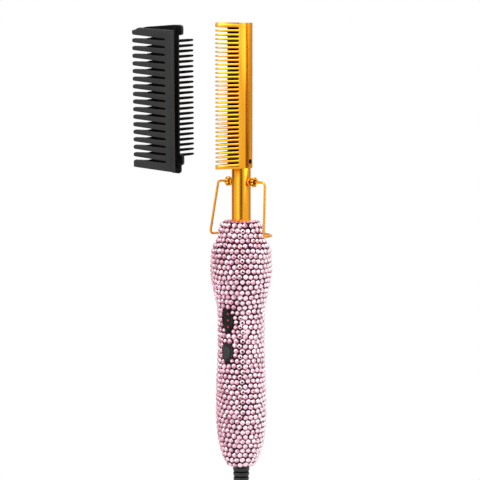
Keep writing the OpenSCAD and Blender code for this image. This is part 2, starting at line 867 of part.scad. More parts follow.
// A rounded jaw at the upper end of the rear wall that hooks over the blade's spine
module jaw() {
    far = rear_x + cover_t;
    translate([0, 0, (cover_len - end_slant) / 2 - clip_h]) intersection() {
        linear_extrude(clip_h) difference() {
            union() {
                polygon([
                    [rear_x - jaw_in, 0], [far, 0], [far, rear_mouth], [rear_x, rear_mouth],
                    [rear_x - jaw_in, jaw_in]
                ]);
                translate([rear_x, 0]) circle(cover_t);
            }
            translate([rear_x - jaw_in - 4 * cover_t, -4 * cover_t])
                square([4 * cover_t, 8 * cover_t]);
        }
        facing_x() linear_extrude(2 * far) polygon(concat(
            [[4 * cover_t, clip_h], [4 * cover_t, 0], [-cover_t, 0]],
            moved(arc(jaw_round, 180, 90, 6), [jaw_round - cover_t, clip_h - jaw_round])
        ));
    }
}

module cover_clip_top() {
    color(black) cover_frame() jaw();
}

// The lower clip has a foot under the rear wall
module cover_clip_bottom() {
    color(black) cover_frame() union() {
        mirror([0, 0, 1]) jaw();
        translate([rear_x, 0, (end_slant - cover_len) / 2 - foot_h]) facing_x() linear_extrude(cover_t)
            polygon(concat(
                [[rear_bend, 0], [rear_bend, foot_h], [0, foot_h]],
                moved(arc(jaw_round, 180, 270, 6), [jaw_round, jaw_round])
            ));
    }
}

comb_blade();
blade_set_screw();
heater_core();
temperature_sensor();
heater_leads();
neck_tube();
pivot_stud_left();
pivot_stud_right();
stand_wire();
tube_bush();
handle_shell_front();
handle_shell_back();
crystal_front();
crystal_back();
crystal_rim();
shell_screws();
circuit_board();
button_switch();
power_button();
button_bezel();
indicator_window();
indicator_lights();
supply_leads();
swivel_socket();
cord_swivel();
strain_relief();
power_cord();
cord_hank();
hank_tie();
cord_end();
plug_body();
plug_blades();
cover_wide_comb();
cover_fine_comb();
cover_clip_top();
cover_clip_bottom();
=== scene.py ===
"""Looks of the electric hot comb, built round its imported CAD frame.

Lengths are written in millimetres and turned to metres by MM. Angles are in degrees.
"""
import json
import math
import random

import bmesh
import bpy
from mathutils import Matrix, Vector

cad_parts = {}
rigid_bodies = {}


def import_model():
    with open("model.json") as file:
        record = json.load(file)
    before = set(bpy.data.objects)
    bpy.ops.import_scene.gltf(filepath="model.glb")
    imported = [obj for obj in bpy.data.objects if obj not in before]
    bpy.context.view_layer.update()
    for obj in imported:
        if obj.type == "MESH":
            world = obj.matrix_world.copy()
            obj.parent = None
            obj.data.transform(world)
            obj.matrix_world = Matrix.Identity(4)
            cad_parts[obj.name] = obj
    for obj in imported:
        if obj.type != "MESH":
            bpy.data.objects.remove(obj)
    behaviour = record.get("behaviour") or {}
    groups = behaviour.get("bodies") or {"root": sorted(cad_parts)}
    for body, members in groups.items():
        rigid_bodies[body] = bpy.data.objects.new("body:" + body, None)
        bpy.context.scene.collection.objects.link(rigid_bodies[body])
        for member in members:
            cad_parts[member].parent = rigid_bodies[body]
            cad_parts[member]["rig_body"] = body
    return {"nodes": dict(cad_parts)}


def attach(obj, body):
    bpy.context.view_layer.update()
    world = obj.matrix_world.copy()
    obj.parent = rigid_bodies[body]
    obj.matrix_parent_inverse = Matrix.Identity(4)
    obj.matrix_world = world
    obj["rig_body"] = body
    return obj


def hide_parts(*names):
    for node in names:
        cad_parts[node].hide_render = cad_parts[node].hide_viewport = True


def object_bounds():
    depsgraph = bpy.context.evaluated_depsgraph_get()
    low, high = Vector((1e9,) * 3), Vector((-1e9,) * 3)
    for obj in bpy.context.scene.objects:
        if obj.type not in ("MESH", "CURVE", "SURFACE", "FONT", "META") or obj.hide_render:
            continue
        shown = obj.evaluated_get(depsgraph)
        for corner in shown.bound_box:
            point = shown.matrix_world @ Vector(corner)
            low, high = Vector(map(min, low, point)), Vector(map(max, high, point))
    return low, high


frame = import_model()
cad_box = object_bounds()
NODES = frame["nodes"]
MM = 0.001
rng = random.Random(7)

# ---- Sizes repeated from the part's source ----

RIM_Z, END_Z = 80.2, 79.4
RIM_R = 11.5
COLLAR_R, COLLAR_Z = 13.7, 72.5
SHOULDER_R, SHOULDER_Z = 18.2, 60.5
BELLY_R, BELLY_Z = 18.7, 50
WAIST_R, WAIST_Z, WAIST_FLAT_Z = 13.9, 18, 5
PALM_R, PALM_Z = 15.1, 40
TAIL_POWER, TAIL_REACH = 2.4, 2.9
CRYSTAL_H = 1.4
NECK_R, NECK_BORE_R = 6.25, 3.7
WINDOW_Z, WINDOW_W, WINDOW_H, WINDOW_TILT = 17.5, 4.4, 8.2, 8
BUTTON_Z, BUTTON_W, BUTTON_H = -3.4, 2.95, 4.4
BEZEL_WALL = 1.4
BLADE_Z, BLADE_LEN, ROOT_X, TIP_X = 115.5, 93.5, 8.3, 25
SLOT_PITCH, SLOT_Z = 2.69, 119.1
PIVOT_Z = 106.6
STUD_R, STUD_STEM, STUD_HEAD_R, STUD_END = 1.8, 8.6, 3.3, 11.8
WIRE_D, WIRE_BEND, WIRE_DEPTH = 1.6, 2.4, 3.4
STAND_TOP_W, STAND_FOOT_W = 19.5, 22
STAND_REACH, STAND_DROP, STAND_LEAN = 16.6, 34.6, 4.5
CORD_D = 5
RELIEF_R, RELIEF_LEN, RELIEF_TOP = 5.5, 32, -80.9
HANK_MID, HANK_HALF, LOBE_R, HANK_WAIST = -216, 70, 18, 8
CORD_ROUTE = [
    (0, 0, -104), (0, 0, -111), (0, 0, -118), (-1, 0.5, -124), (-2.5, 1.5, -130),
    (-5, 3.5, -136), (-8, 6, -142), (-10.5, 9, -148), (-12.5, 11.5, -154), (-13.5, 13.5, -160),
]
END_ROUTE = [
    (13, 14, -272), (11, 12, -279), (8.5, 8.5, -286), (5.5, 5.5, -293), (2.5, 2.5, -300),
    (0.5, 0.5, -307), (0, 0, -314), (0, 0, -320),
]

# ---- Camera: the photograph's viewing angle ----

CAMERA_AZIMUTH, CAMERA_ELEVATION = -51.4, 5.2
CAMERA_DISTANCE = 1300
CAMERA_AIM_Z, CAMERA_AIM_RIGHT = 68.6, -0.8
CAMERA_LENS, CAMERA_SENSOR = 150, 36


def direction(azimuth, elevation):
    """The unit vector from the object towards a viewer at this azimuth and elevation."""
    a, e = math.radians(azimuth), math.radians(elevation)
    return Vector((math.sin(a) * math.cos(e), -math.cos(a) * math.cos(e), math.sin(e)))


def make_camera():
    back = direction(CAMERA_AZIMUTH, CAMERA_ELEVATION)
    right = direction(CAMERA_AZIMUTH + 90, 0)
    aim = Vector((0, 0, CAMERA_AIM_Z)) + CAMERA_AIM_RIGHT * right
    data = bpy.data.cameras.new("camera")
    data.lens = CAMERA_LENS
    data.sensor_width = CAMERA_SENSOR
    bpy.context.scene.camera = add_aimed("camera", data, aim + CAMERA_DISTANCE * back, back)


# ---- Objects and meshes ----

BEVEL_ANGLE = 30
CREASE, ROUND_CREASE = 35, 40
WELD, FLAT_ANGLE = 0.002, 1.2
LATHE_SIDES, TUBE_SIDES = 96, 16


def add_object(name, data, *materials):
    piece = bpy.data.objects.new(name, data)
    for material in materials:
        data.materials.append(material)
    bpy.context.scene.collection.objects.link(piece)
    return piece


def add_aimed(name, data, place, back):
    """Adds a camera or lamp that looks the other way than the direction back."""
    made = add_object(name, data)
    made.location = place * MM
    made.rotation_mode = "QUATERNION"
    made.rotation_quaternion = back.to_track_quat("Z", "Y")
    return made


def add_piece(name, data, body, slot, *materials):
    piece = add_object(name, data, *materials)
    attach(piece, body)
    return piece


def bevel(piece, width, segments):
    """Rounds the piece's sharper edges, in its mesh."""
    edge = piece.modifiers.new("edge", "BEVEL")
    edge.width = width * MM
    edge.segments = segments
    edge.limit_method = "ANGLE"
    edge.angle_limit = math.radians(BEVEL_ANGLE)
    edge.use_clamp_overlap = True
    evaluated = piece.evaluated_get(bpy.context.evaluated_depsgraph_get())
    old = piece.data
    piece.data = bpy.data.meshes.new_from_object(evaluated)
    piece.modifiers.clear()
    bpy.data.meshes.remove(old)


def smooth(piece, angle=CREASE):
    """Shades a piece smooth, with creases only where it turns by more than angle."""
    piece.data.shade_smooth()
    piece.data.set_sharp_from_angle(angle=math.radians(angle))


def replace_node(node, shape, slot, *materials, width=0, segments=2, crease=CREASE):
    """Puts a bmesh in place of a CAD node, with its edges rounded by width and smooth shading."""
    mesh = bpy.data.meshes.new(node + "_finish")
    shape.to_mesh(mesh)
    shape.free()
    piece = add_piece(node + "_finish", mesh, NODES[node]["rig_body"], slot, *materials)
    if width:
        bevel(piece, width, segments)
    smooth(piece, crease)
    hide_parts(node)
    return piece


def dress(node, material, slot, width=0.25, segments=2, prepare=None):
    """Replaces a CAD node by a copy of its shape with rounded edges and smooth shading."""
    shape = bmesh.new()
    shape.from_mesh(NODES[node].data)
    if prepare:
        prepare(shape)
    bmesh.ops.remove_doubles(shape, verts=shape.verts, dist=WELD * MM)
    bmesh.ops.dissolve_limit(
        shape, angle_limit=math.radians(FLAT_ANGLE), verts=shape.verts, edges=shape.edges
    )
    return replace_node(node, shape, slot, material, width=width, segments=segments)


def circle(count):
    """The angles of evenly spread corners, in radians."""
    return [2 * math.pi * k / count for k in range(count)]


def bridge(shape, lower, upper):
    """The faces between two rings with as many corners."""
    count = len(lower)
    return [
        shape.faces.new((lower[k], lower[(k + 1) % count], upper[(k + 1) % count], upper[k]))
        for k in range(count)
    ]


def lathe(profile):
    """A solid of revolution about Z from a profile of (radius, height), which starts and ends on Z."""
    shape = bmesh.new()
    first, *middle, last = profile
    rings = [
        [shape.verts.new((r * MM * math.cos(a), r * MM * math.sin(a), z * MM))
         for a in circle(LATHE_SIDES)]
        for r, z in middle
    ]
    start, end = (shape.verts.new((0, 0, z * MM)) for _, z in (first, last))
    for k in range(LATHE_SIDES):
        n = (k + 1) % LATHE_SIDES
        shape.faces.new((start, rings[0][n], rings[0][k]))
        shape.faces.new((rings[-1][k], rings[-1][n], end))
    for lower, upper in zip(rings, rings[1:]):
        bridge(shape, lower, upper)
    bmesh.ops.recalc_face_normals(shape, faces=shape.faces)
    return shape


def close_tube(shape, rings):
    """The walls and the two end faces of a tube through rings of corners."""
    for lower, upper in zip(rings, rings[1:]):
        bridge(shape, lower, upper)
    shape.faces.new(rings[0][::-1])
    shape.faces.new(rings[-1])


def tube(path, radius):
    """A round tube along a path of points, with closed ends."""
    shape = bmesh.new()
    points = [Vector(p) for p in path]
    across = None
    rings = []
    for i, point in enumerate(points):
        ahead = (points[min(i + 1, len(points) - 1)] - points[max(i - 1, 0)]).normalized()
        if across is None:
            across = ahead.orthogonal().normalized()
        across = (across - across.dot(ahead) * ahead).normalized()
        up = ahead.cross(across)
        rings.append([
            shape.verts.new((point + radius * (math.cos(a) * across + math.sin(a) * up)) * MM)
            for a in circle(TUBE_SIDES)
        ])
    close_tube(shape, rings)
    bmesh.ops.recalc_face_normals(shape, faces=shape.faces)
    return shape


# ---- Materials ----

LOW_STOP, HIGH_STOP = 0.3, 0.7


def shade(color, k):
    return tuple(min(1, c * k) for c in color)


class Finish:
    """A Principled material whose colour, roughness and relief come from noise on the piece."""

    def __init__(self, name, color, roughness, metallic=0.0, **sockets):
        self.material = bpy.data.materials.new(name)
        self.material.use_nodes = True
        self.tree = self.material.node_tree
        self.shader = self.tree.nodes["Principled BSDF"]
        self.shader.inputs["Base Color"].default_value = (*color, 1)
        self.shader.inputs["Roughness"].default_value = roughness
        self.shader.inputs["Metallic"].default_value = metallic
        for socket, value in sockets.items():
            self.shader.inputs[socket.replace("_", " ")].default_value = value
        self.color = color
        self.coordinates = self.node("ShaderNodeTexCoord").outputs["Object"]

    def node(self, kind, **settings):
        made = self.tree.nodes.new(kind)
        for key, value in settings.items():
            setattr(made, key, value)
        return made

    def link(self, output, socket):
        self.tree.links.new(output, socket)

    def noise(self, size, stretch=(1, 1, 1), detail=3):
        """Noise whose features are about size millimetres across, longer along an axis by stretch."""
        mapping = self.node("ShaderNodeMapping")
        mapping.inputs["Scale"].default_value = [1 / s for s in stretch]
        texture = self.node("ShaderNodeTexNoise")
        texture.inputs["Scale"].default_value = 1 / (size * MM)
        texture.inputs["Detail"].default_value = detail
        self.link(self.coordinates, mapping.inputs["Vector"])
        self.link(mapping.outputs["Vector"], texture.inputs["Vector"])
        return texture.outputs["Fac"]

    def math(self, operation, *operands):
        """A Math node over numbers and outputs."""
        made = self.node("ShaderNodeMath", operation=operation)
        for socket, value in zip(made.inputs, operands):
            if isinstance(value, (int, float)):
                socket.default_value = value
            else:
                self.link(value, socket)
        return made.outputs[0]

    def map_range(self, value, low, high, first, last, **settings):
        """Goes from first to last as a length goes from low to high."""
        made = self.node("ShaderNodeMapRange", **settings)
        for socket, number in (
            ("From Min", low * MM), ("From Max", high * MM), ("To Min", first), ("To Max", last)
        ):
            made.inputs[socket].default_value = number
        self.link(value, made.inputs["Value"])
        return made.outputs["Result"]

    def span(self, value, start, end):
        """Goes smoothly from 0 to 1 as a length goes from start to end, and stays there."""
        ends = (start, end, 0, 1) if start < end else (end, start, 1, 0)
        return self.map_range(value, *ends, interpolation_type="SMOOTHSTEP")

    def band(self, value, rise, fall):
        """Rises from 0 to 1 over one stretch of a length and falls back over another."""
        return self.math("MULTIPLY", self.span(value, *rise), self.span(value, *fall))

    def ramp(self, factor, *stops):
        """Maps a factor to colours or grey levels, given as (position, value) stops."""
        made = self.node("ShaderNodeValToRGB")
        elements = made.color_ramp.elements
        for element, (position, value) in zip(elements, stops):
            element.position = position
            element.color = (value, value, value, 1) if isinstance(value, (int, float)) else (*value, 1)
        self.link(factor, made.inputs["Fac"])
        return made.outputs["Color"]

    def mottle(self, size, dark, light):
        """Varies the colour from dark to light times itself, in patches of about size millimetres."""
        stops = (LOW_STOP, shade(self.color, dark)), (HIGH_STOP, shade(self.color, light))
        self.link(self.ramp(self.noise(size), *stops), self.shader.inputs["Base Color"])

    def vary_roughness(self, factor, low, high):
        self.link(self.ramp(factor, (LOW_STOP, low), (HIGH_STOP, high)), self.shader.inputs["Roughness"])

    def relief(self, *heights):
        """Bumps one after the other, each a (factor, depth in millimetres) pair."""
        normal = None
        for factor, depth in heights:
            bump = self.node("ShaderNodeBump")
            bump.inputs["Strength"].default_value = 1
            bump.inputs["Distance"].default_value = depth * MM
            self.link(factor, bump.inputs["Height"])
            if normal is not None:
                self.link(normal, bump.inputs["Normal"])
            normal = bump.outputs["Normal"]
        self.link(normal, self.shader.inputs["Normal"])


def plain_finish(name, color, roughness, grain, depth, metallic=0.0, **sockets):
    """A finish with cloudy colour, uneven roughness and a fine grain."""
    made = Finish(name, color, roughness, metallic, **sockets)
    made.mottle(6, 0.88, 1.12)
    made.vary_roughness(made.noise(2.5), roughness * 0.85, min(1, roughness * 1.15))
    made.relief((made.noise(grain), depth))
    return made.material


GOLD, GOLD_LIGHT, GOLD_SHADE = (0.87, 0.36, 0.02), (0.9, 0.4, 0.032), (0.14, 0.05, 0.006)
GOLD_TIP, GOLD_EDGE_SHADE, GOLD_GROOVE_SHADE = (0.72, 0.42, 0.1), (0.14, 0.05, 0.008), (0.36, 0.12, 0.004)
GOLD_LIGHT_STOP = 0.72
TIP_STRENGTH, EDGE_SHADE_STRENGTH, GROOVE_SHADE_STRENGTH = 0.5, 0.85, 0.8
BRUSHED = (1, 1, 14)

# The blade's marks: where each rises and where it falls, along X. The painted shade on the teeth's lower
# edges also follows the slots' pitch, in shares of it.
GROOVE_SHADE_RISE, GROOVE_SHADE_FALL = (-2.5, -2.0), (0.15, -0.05)
EDGE_SHADE_RISE, EDGE_SHADE_FALL = (2 - TIP_X, -14), (0.5 - ROOT_X, -ROOT_X)
EDGE_SHADE_PHASE_RISE, EDGE_SHADE_PHASE_FALL = (0.1 / MM, 0.16 / MM), (0.5 / MM, 0.32 / MM)
PALE_TIP = (7 - TIP_X, -TIP_X)


def start_gold(name):
    """Satin gold brushed along Z, and the colour that it has."""
    made = Finish(name, GOLD, 0.25, 1.0)
    made.vary_roughness(made.noise(0.9, BRUSHED, 2), 0.22, 0.28)
    made.relief((made.noise(0.35, (1, 1, 18), 2), 0.0006), (made.noise(3), 0.002))
    cloud = made.noise(14, (1, 1, 3), 2)
    return made, made.ramp(cloud, (LOW_STOP, GOLD), (GOLD_LIGHT_STOP, GOLD_LIGHT))


def gold_finish():
    made, color = start_gold("gold")
    made.link(color, made.shader.inputs["Base Color"])
    return made.material


def blade_finish():
    """The blade's gold, with painted shade in a band beside its spine and along the lower edges of its
    teeth.
    """
    made, color = start_gold("blade_gold")
    place = made.node("ShaderNodeSeparateXYZ")
    made.link(made.coordinates, place.inputs["Vector"])
    x, z = place.outputs["X"], place.outputs["Z"]
    slots_up = made.math("DIVIDE", made.math("SUBTRACT", z, SLOT_Z * MM), SLOT_PITCH * MM)
    edge = made.band(made.math("FRACT", slots_up), EDGE_SHADE_PHASE_RISE, EDGE_SHADE_PHASE_FALL)
    marks = (
        (made.span(x, *PALE_TIP), TIP_STRENGTH, GOLD_TIP),
        # Painted shade on the lower edges of the teeth, between their tips and their roots.
        (made.math("MULTIPLY", edge, made.band(x, EDGE_SHADE_RISE, EDGE_SHADE_FALL)), EDGE_SHADE_STRENGTH, GOLD_EDGE_SHADE),
        # A band of painted shade beside the spine.
        (made.band(x, GROOVE_SHADE_RISE, GROOVE_SHADE_FALL), GROOVE_SHADE_STRENGTH, GOLD_GROOVE_SHADE),
    )
    for factor, strength, tone in marks:
        mix = made.node("ShaderNodeMix", data_type="RGBA")
        made.link(made.math("MULTIPLY", factor, strength), mix.inputs["Factor"])
        made.link(color, mix.inputs["A"])
        mix.inputs["B"].default_value = (*tone, 1)
        color = mix.outputs["Result"]
    made.link(color, made.shader.inputs["Base Color"])
    return made.material


def shaded_gold_finish():
    """The same gold darkened as painted shade, inside the blade's slots and the studs' hollows."""
    made = Finish("gold_painted_shade", GOLD_SHADE, 0.42, 1.0)
    made.mottle(1.5, 0.7, 1.25)
    made.vary_roughness(made.noise(0.6), 0.36, 0.5)
    return made.material


STONE_METAL, TABLE_METAL = 0.5, 1.0


def stone_finish():
    """Foiled glass. Each facet carries its own colour, with painted highlight and shade, and in alpha
    how metallic it is.
    """
    made = Finish(
        "crystal", (0.95, 0.62, 0.74), 0.09, STONE_METAL, IOR=1.6, Coat_Weight=0.4, Coat_Roughness=0.03
    )
    tint = made.node("ShaderNodeAttribute", attribute_name="facet_tint_and_painted_light")
    made.link(tint.outputs["Color"], made.shader.inputs["Base Color"])
    made.link(tint.outputs["Alpha"], made.shader.inputs["Metallic"])
    return made.material


def light_finish():
    made = Finish("red_light", (0.32, 0.02, 0.02), 0.25, Emission_Strength=0.08)
    made.shader.inputs["Emission Color"].default_value = (1, 0.04, 0.03, 1)
    made.vary_roughness(made.noise(0.3), 0.2, 0.35)
    return made.material


def cover_finish(name, base, gloss):
    made = Finish(name, base, 0.42, Specular_IOR_Level=gloss)
    made.mottle(12, 0.85, 1.2)
    made.vary_roughness(made.noise(3), 0.36, 0.5)
    made.relief((made.noise(0.16, detail=2), 0.012), (made.noise(2.2), 0.008))
    return made.material


def cord_finish():
    made = Finish("cord_rubber", (0.02, 0.02, 0.022), 0.5, Specular_IOR_Level=0.4)
    made.mottle(8, 0.85, 1.25)
    made.vary_roughness(made.noise(1.5), 0.42, 0.6)
    made.relief((made.noise(0.25), 0.01))
    return made.material


RIDGE_PITCH, RIDGE_DEPTH = 1.7, 0.12
WAVE_SCALE = 2 * math.pi / 20


def button_finish():
    """The button's black with shallow ridges across it."""
    made = Finish("button_plastic", (0.016, 0.016, 0.019), 0.34, Specular_IOR_Level=0.45)
    made.mottle(4, 0.85, 1.2)
    ridges = made.node("ShaderNodeTexWave", wave_type="BANDS", bands_direction="Z")
    ridges.inputs["Scale"].default_value = WAVE_SCALE / (RIDGE_PITCH * MM)
    made.link(made.coordinates, ridges.inputs["Vector"])
    made.relief((ridges.outputs["Fac"], RIDGE_DEPTH), (made.noise(0.18), 0.005))
    return made.material


gold = gold_finish()
# A darker copy of the gold: painted shade for the blade's slots and the studs' hollows.
shaded_gold = shaded_gold_finish()
blade_gold = blade_finish()
stone = stone_finish()
# The setting between the stones: its own colour, darkened as painted shade.
setting_and_shade = plain_finish(
    "stone_setting", (0.035, 0.004, 0.013), 0.5, 0.4, 0.02, Specular_IOR_Level=0.08
)
shell = plain_finish("pink_shell", (0.86, 0.36, 0.5), 0.3, 0.5, 0.01)
steel = plain_finish("steel", (0.2, 0.2, 0.21), 0.35, 0.2, 0.004, metallic=1.0)
brass = plain_finish("brass", (0.75, 0.62, 0.4), 0.28, 0.2, 0.004, metallic=1.0)
ceramic = plain_finish("ceramic", (0.85, 0.84, 0.8), 0.6, 0.3, 0.01)
sleeve = plain_finish("lead_sleeve", (0.75, 0.75, 0.73), 0.7, 0.3, 0.02)
board = plain_finish("board", (0.02, 0.13, 0.04), 0.4, 0.5, 0.01)
oxide = plain_finish("oxide_steel", (0.03, 0.028, 0.028), 0.4, 0.2, 0.004, metallic=1.0)
black = plain_finish(
    "black_plastic", (0.012, 0.012, 0.014), 0.3, 0.18, 0.006, Specular_IOR_Level=0.35
)
button_black = button_finish()
glass = plain_finish(
    "smoked_window", (0.006, 0.0045, 0.005), 0.14, 1.5, 0.002, Specular_IOR_Level=0.18
)
red = light_finish()
plastic = cover_finish("cover_plastic", (0.019, 0.019, 0.02), 0.26)
# A darker copy of the cover's black: painted shade inside the channel, the comb's slots and the relief's
# grooves.
shaded_plastic = cover_finish("plastic_painted_shade", (0.005, 0.005, 0.005), 0.06)
rubber = cord_finish()


# ---- Handle outline ----

def ease(a, b, t):
    return a + (b - a) * (1 - math.cos(math.pi * t)) / 2


def part_way(z, low, high):
    return (z - low) / (high - low)


def grip_r(z):
    """The shells' outer radius at a height."""
    if z < -PALM_Z:
        t = (-PALM_Z - z) / (END_Z + TAIL_REACH - PALM_Z)
        return PALM_R * (1 - t ** TAIL_POWER) ** (1 / TAIL_POWER)
    if z < WAIST_FLAT_Z:
        return ease(PALM_R, WAIST_R, part_way(z, -PALM_Z, WAIST_FLAT_Z))
    if z < WAIST_Z:
        return WAIST_R
    if z < BELLY_Z:
        return ease(WAIST_R, BELLY_R, part_way(z, WAIST_Z, BELLY_Z))
    if z < SHOULDER_Z:
        return ease(BELLY_R, SHOULDER_R, part_way(z, BELLY_Z, SHOULDER_Z))
    if z < COLLAR_Z:
        return ease(SHOULDER_R, COLLAR_R, part_way(z, SHOULDER_Z, COLLAR_Z))
    return COLLAR_R - (COLLAR_R - RIM_R) * part_way(z, COLLAR_Z, RIM_Z) ** 2


SLOPE_REACH = 0.5


def outline(z):
    """(radius, outward slope in radians) of the shells' outline at a height."""
    low, high = max(z - SLOPE_REACH, -END_Z), min(z + SLOPE_REACH, RIM_Z)
    return grip_r(z), math.atan2(grip_r(high) - grip_r(low), high - low)


def inside_leaf(y, z, w, h):
    """Whether a point lies in the window's tilted leaf of half width w and half height h."""
    tilt = math.radians(WINDOW_TILT)
    y, z = y * math.cos(tilt) - z * math.sin(tilt), z * math.cos(tilt) + y * math.sin(tilt)
    r = (w * w + h * h) / (2 * w)
    return math.hypot(abs(y) + r - w, z) < r


LEAF_TIP_GROWTH = 1.5


def inside_controls(y, z, grow):
    """Whether a point of the button side lies on the window or the bezel, grown by a margin."""
    if inside_leaf(y, z - WINDOW_Z, WINDOW_W + grow, WINDOW_H + grow * LEAF_TIP_GROWTH):
        return True
    w, h = BUTTON_W + BEZEL_WALL + grow, BUTTON_H + BEZEL_WALL + grow
    return (y / w) ** 2 + ((z - BUTTON_Z) / h) ** 2 < 1


# ---- Crystals ----

# A stone's rings from its base to its table: (share of its radius, share of its height).
STONE_RINGS = [(1.0, 0.12), (1.0, 0.38), (0.74, 0.84), (0.46, 1.0)]
GIRDLE, SHOULDERS = 16, 8

# Facet colours, from the darkest to the brightest, and the level at which blush is reached.
WINE, ROSE, BLUSH, PALE = (0.07, 0.014, 0.03), (0.62, 0.22, 0.34), (0.92, 0.6, 0.7), (1.0, 0.87, 0.91)
BLUSH_LEVEL, DARKEST_LEVEL = 0.45, -0.6
MOOD_SPREAD, FACET_SPREAD, TABLE_SPREAD = 0.13, 0.26, 0.15

# A facet's level over its stone's mood: by how far up it faces, a painted highlight above and shade
# below, in turn, alternately lighter and darker as painted flashes, and by its ring.
CRESCENT_HIGHLIGHT, CRESCENT_TURN, PAINTED_FLASH = 0.75, -0.4, 0.25
GIRDLE_FACET, CROWN_FACET, TABLE_EDGE, TABLE_FACET = -0.3, -0.05, 0.05, -0.16


def blend(a, b, t):
    return tuple(x + (y - x) * t for x, y in zip(a, b))


def facet_tint_and_painted_light(level, spread=FACET_SPREAD):
    """A crystal facet's colour, from wine and rose in dark facets to near white in bright ones; its
    level carries painted highlight and shade.
    """
    t = min(1, max(DARKEST_LEVEL, rng.gauss(level, spread)))
    if t < 0:
        return blend(ROSE, WINE, -t)
    if t < BLUSH_LEVEL:
        return blend(ROSE, BLUSH, t / BLUSH_LEVEL)
    return blend(BLUSH, PALE, (t - BLUSH_LEVEL) / (1 - BLUSH_LEVEL))


class Stones:
    """Collects cut stones, each with a table, a crown of facets and a girdle, into one mesh."""

    def __init__(self):
        self.points, self.faces, self.tints, self.kinds = [], [], [], []

    def add_ring(self, place, count, radius, height, phase):
        start = len(self.points)
        for k in range(count):
            a = 2 * math.pi * (k + phase) / count
            self.points.append(place @ Vector((radius * math.cos(a), radius * math.sin(a), height)))
        return start

    def add_face(self, corners, tint, metal=STONE_METAL, kind=0):
        self.faces.append(corners)
        self.tints.append((*tint, metal))
        self.kinds.append(kind)

    def add_stone(self, place, radius, height, mood, metal=STONE_METAL):
        """Upper facets are painted bright and lower ones rose, as highlight and shade from above, and
        alternate facets as painted flashes.
        """
        spin = rng.random()
        turned = (spin + 1) / 2
        counts = [(GIRDLE, spin)] * 2 + [(SHOULDERS, turned)] * 2
        base, girdle, crown, table = (
            self.add_ring(place, count, radius * wide, high * height, phase)
            for (wide, high), (count, phase) in zip(STONE_RINGS, counts)
        )
        mood = rng.gauss(mood, MOOD_SPREAD)
        for k in range(GIRDLE):
            n = (k + 1) % GIRDLE
            tint = blend(WINE, ROSE, rng.random() * 0.5)
            self.add_face((base + k, base + n, girdle + n, girdle + k), tint)
        for j in range(SHOULDERS):
            n = (j + 1) % SHOULDERS
            a, b, c = girdle + 2 * j, girdle + 2 * j + 1, girdle + (2 * j + 2) % GIRDLE
            up = math.sin(2 * math.pi * (j + turned) / SHOULDERS + CRESCENT_TURN)
            level = mood + CRESCENT_HIGHLIGHT * up + (PAINTED_FLASH if j % 2 else -PAINTED_FLASH)
            for corners, step in (
                ((a, b, crown + j), GIRDLE_FACET), ((b, c, crown + j), GIRDLE_FACET),
                ((c, crown + n, crown + j), CROWN_FACET),
                ((crown + j, crown + n, table + n, table + j), TABLE_EDGE),
            ):
                self.add_face(corners, facet_tint_and_painted_light(level + step))
        top = tuple(table + k for k in range(SHOULDERS))
        self.add_face(top, facet_tint_and_painted_light(mood + TABLE_FACET, TABLE_SPREAD), metal)

    def build(self, name, node):
        mesh = bpy.data.meshes.new(name)
        mesh.from_pydata([p * MM for p in self.points], [], self.faces)
        mesh.polygons.foreach_set("material_index", self.kinds)
        tint = mesh.color_attributes.new("facet_tint_and_painted_light", "FLOAT_COLOR", "CORNER")
        values = []
        for face, color in zip(self.faces, self.tints):
            values += color * len(face)
        tint.data.foreach_set("color", values)
        piece = add_piece(name, mesh, "handle", "crystal", stone, setting_and_shade)
        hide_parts(node)


WOBBLE, SEAM_WOBBLE = 0.06, 0.02


def place_on_skin(radius, z, slope, turn, wobble=WOBBLE):
    """The frame of a stone that lies on the handle's skin: its own Z points out of the skin."""
    out = Vector((math.cos(slope), 0, -math.sin(slope)))
    along = Vector((0, 1, 0))
    up = out.cross(along)
    local = Matrix((along, up, out)).transposed().to_4x4()
    tilt = Matrix.Rotation(rng.gauss(0, wobble), 4, "X") @ Matrix.Rotation(rng.gauss(0, wobble), 4, "Y")
    local = Matrix.Translation(Vector((radius, 0, z))) @ local @ tilt
    return Matrix.Rotation(turn, 4, "Z") @ local


SKIN_H, SKIN_TUCK = 0.3, 1.2
SKIN_SIDES, SKIN_STEPS = 120, 96
SKIN_KIND = 1


def add_skin(collected):
    """The coloured setting that shows between the stones, its own colour darkened by painted shade, left
    out under the window and the button.
    """
    heights = [-END_Z + (RIM_Z + END_Z) * i / SKIN_STEPS for i in range(SKIN_STEPS + 1)]
    half = SKIN_SIDES // 2
    for side, middle in (("front", math.pi), ("back", 0.0)):
        stones = collected[side]
        start = len(stones.points)
        for z in heights:
            r, slope = outline(z)
            flat, skin_z = r + SKIN_H * math.cos(slope), z - SKIN_H * math.sin(slope)
            for k in range(half + 1):
                a = middle - math.pi / 2 + math.pi * k / half
                stones.points.append(Vector((flat * math.cos(a), flat * math.sin(a), skin_z)))
        for i in range(SKIN_STEPS):
            for k in range(half):
                corner = start + i * (half + 1) + k
                across = corner + half + 2
                centre = (stones.points[corner] + stones.points[across]) / 2
                if side == "front" and inside_controls(centre.y, centre.z, -SKIN_TUCK):
                    continue
                stones.add_face((corner, corner + 1, across, across - 1), WINE, kind=SKIN_KIND)


STONE_PITCH, STONE_ROWS, COUNT_STEP = 3.72, 49, 3
STONE_ROW_H = (RIM_Z + END_Z) / STONE_ROWS
STONE_TALL = 1.12
STONE_MID_H = 0.7
STONE_GAP, SMALLEST_STONE, SHRINK_STEP = 0.05, 0.7, 0.1
STONE_SIZES = (0.92, 1.0)
Z_JITTER, ROUND_JITTER = 0.13, 0.15

# The seam is the column of stones that faces the camera, a quarter of a step to either side of it.
SEAM_TURN, SEAM_SHIFT = math.radians(218.6), 0.25
STONE_MOOD, SEAM_MOOD = 0.5, 0.72

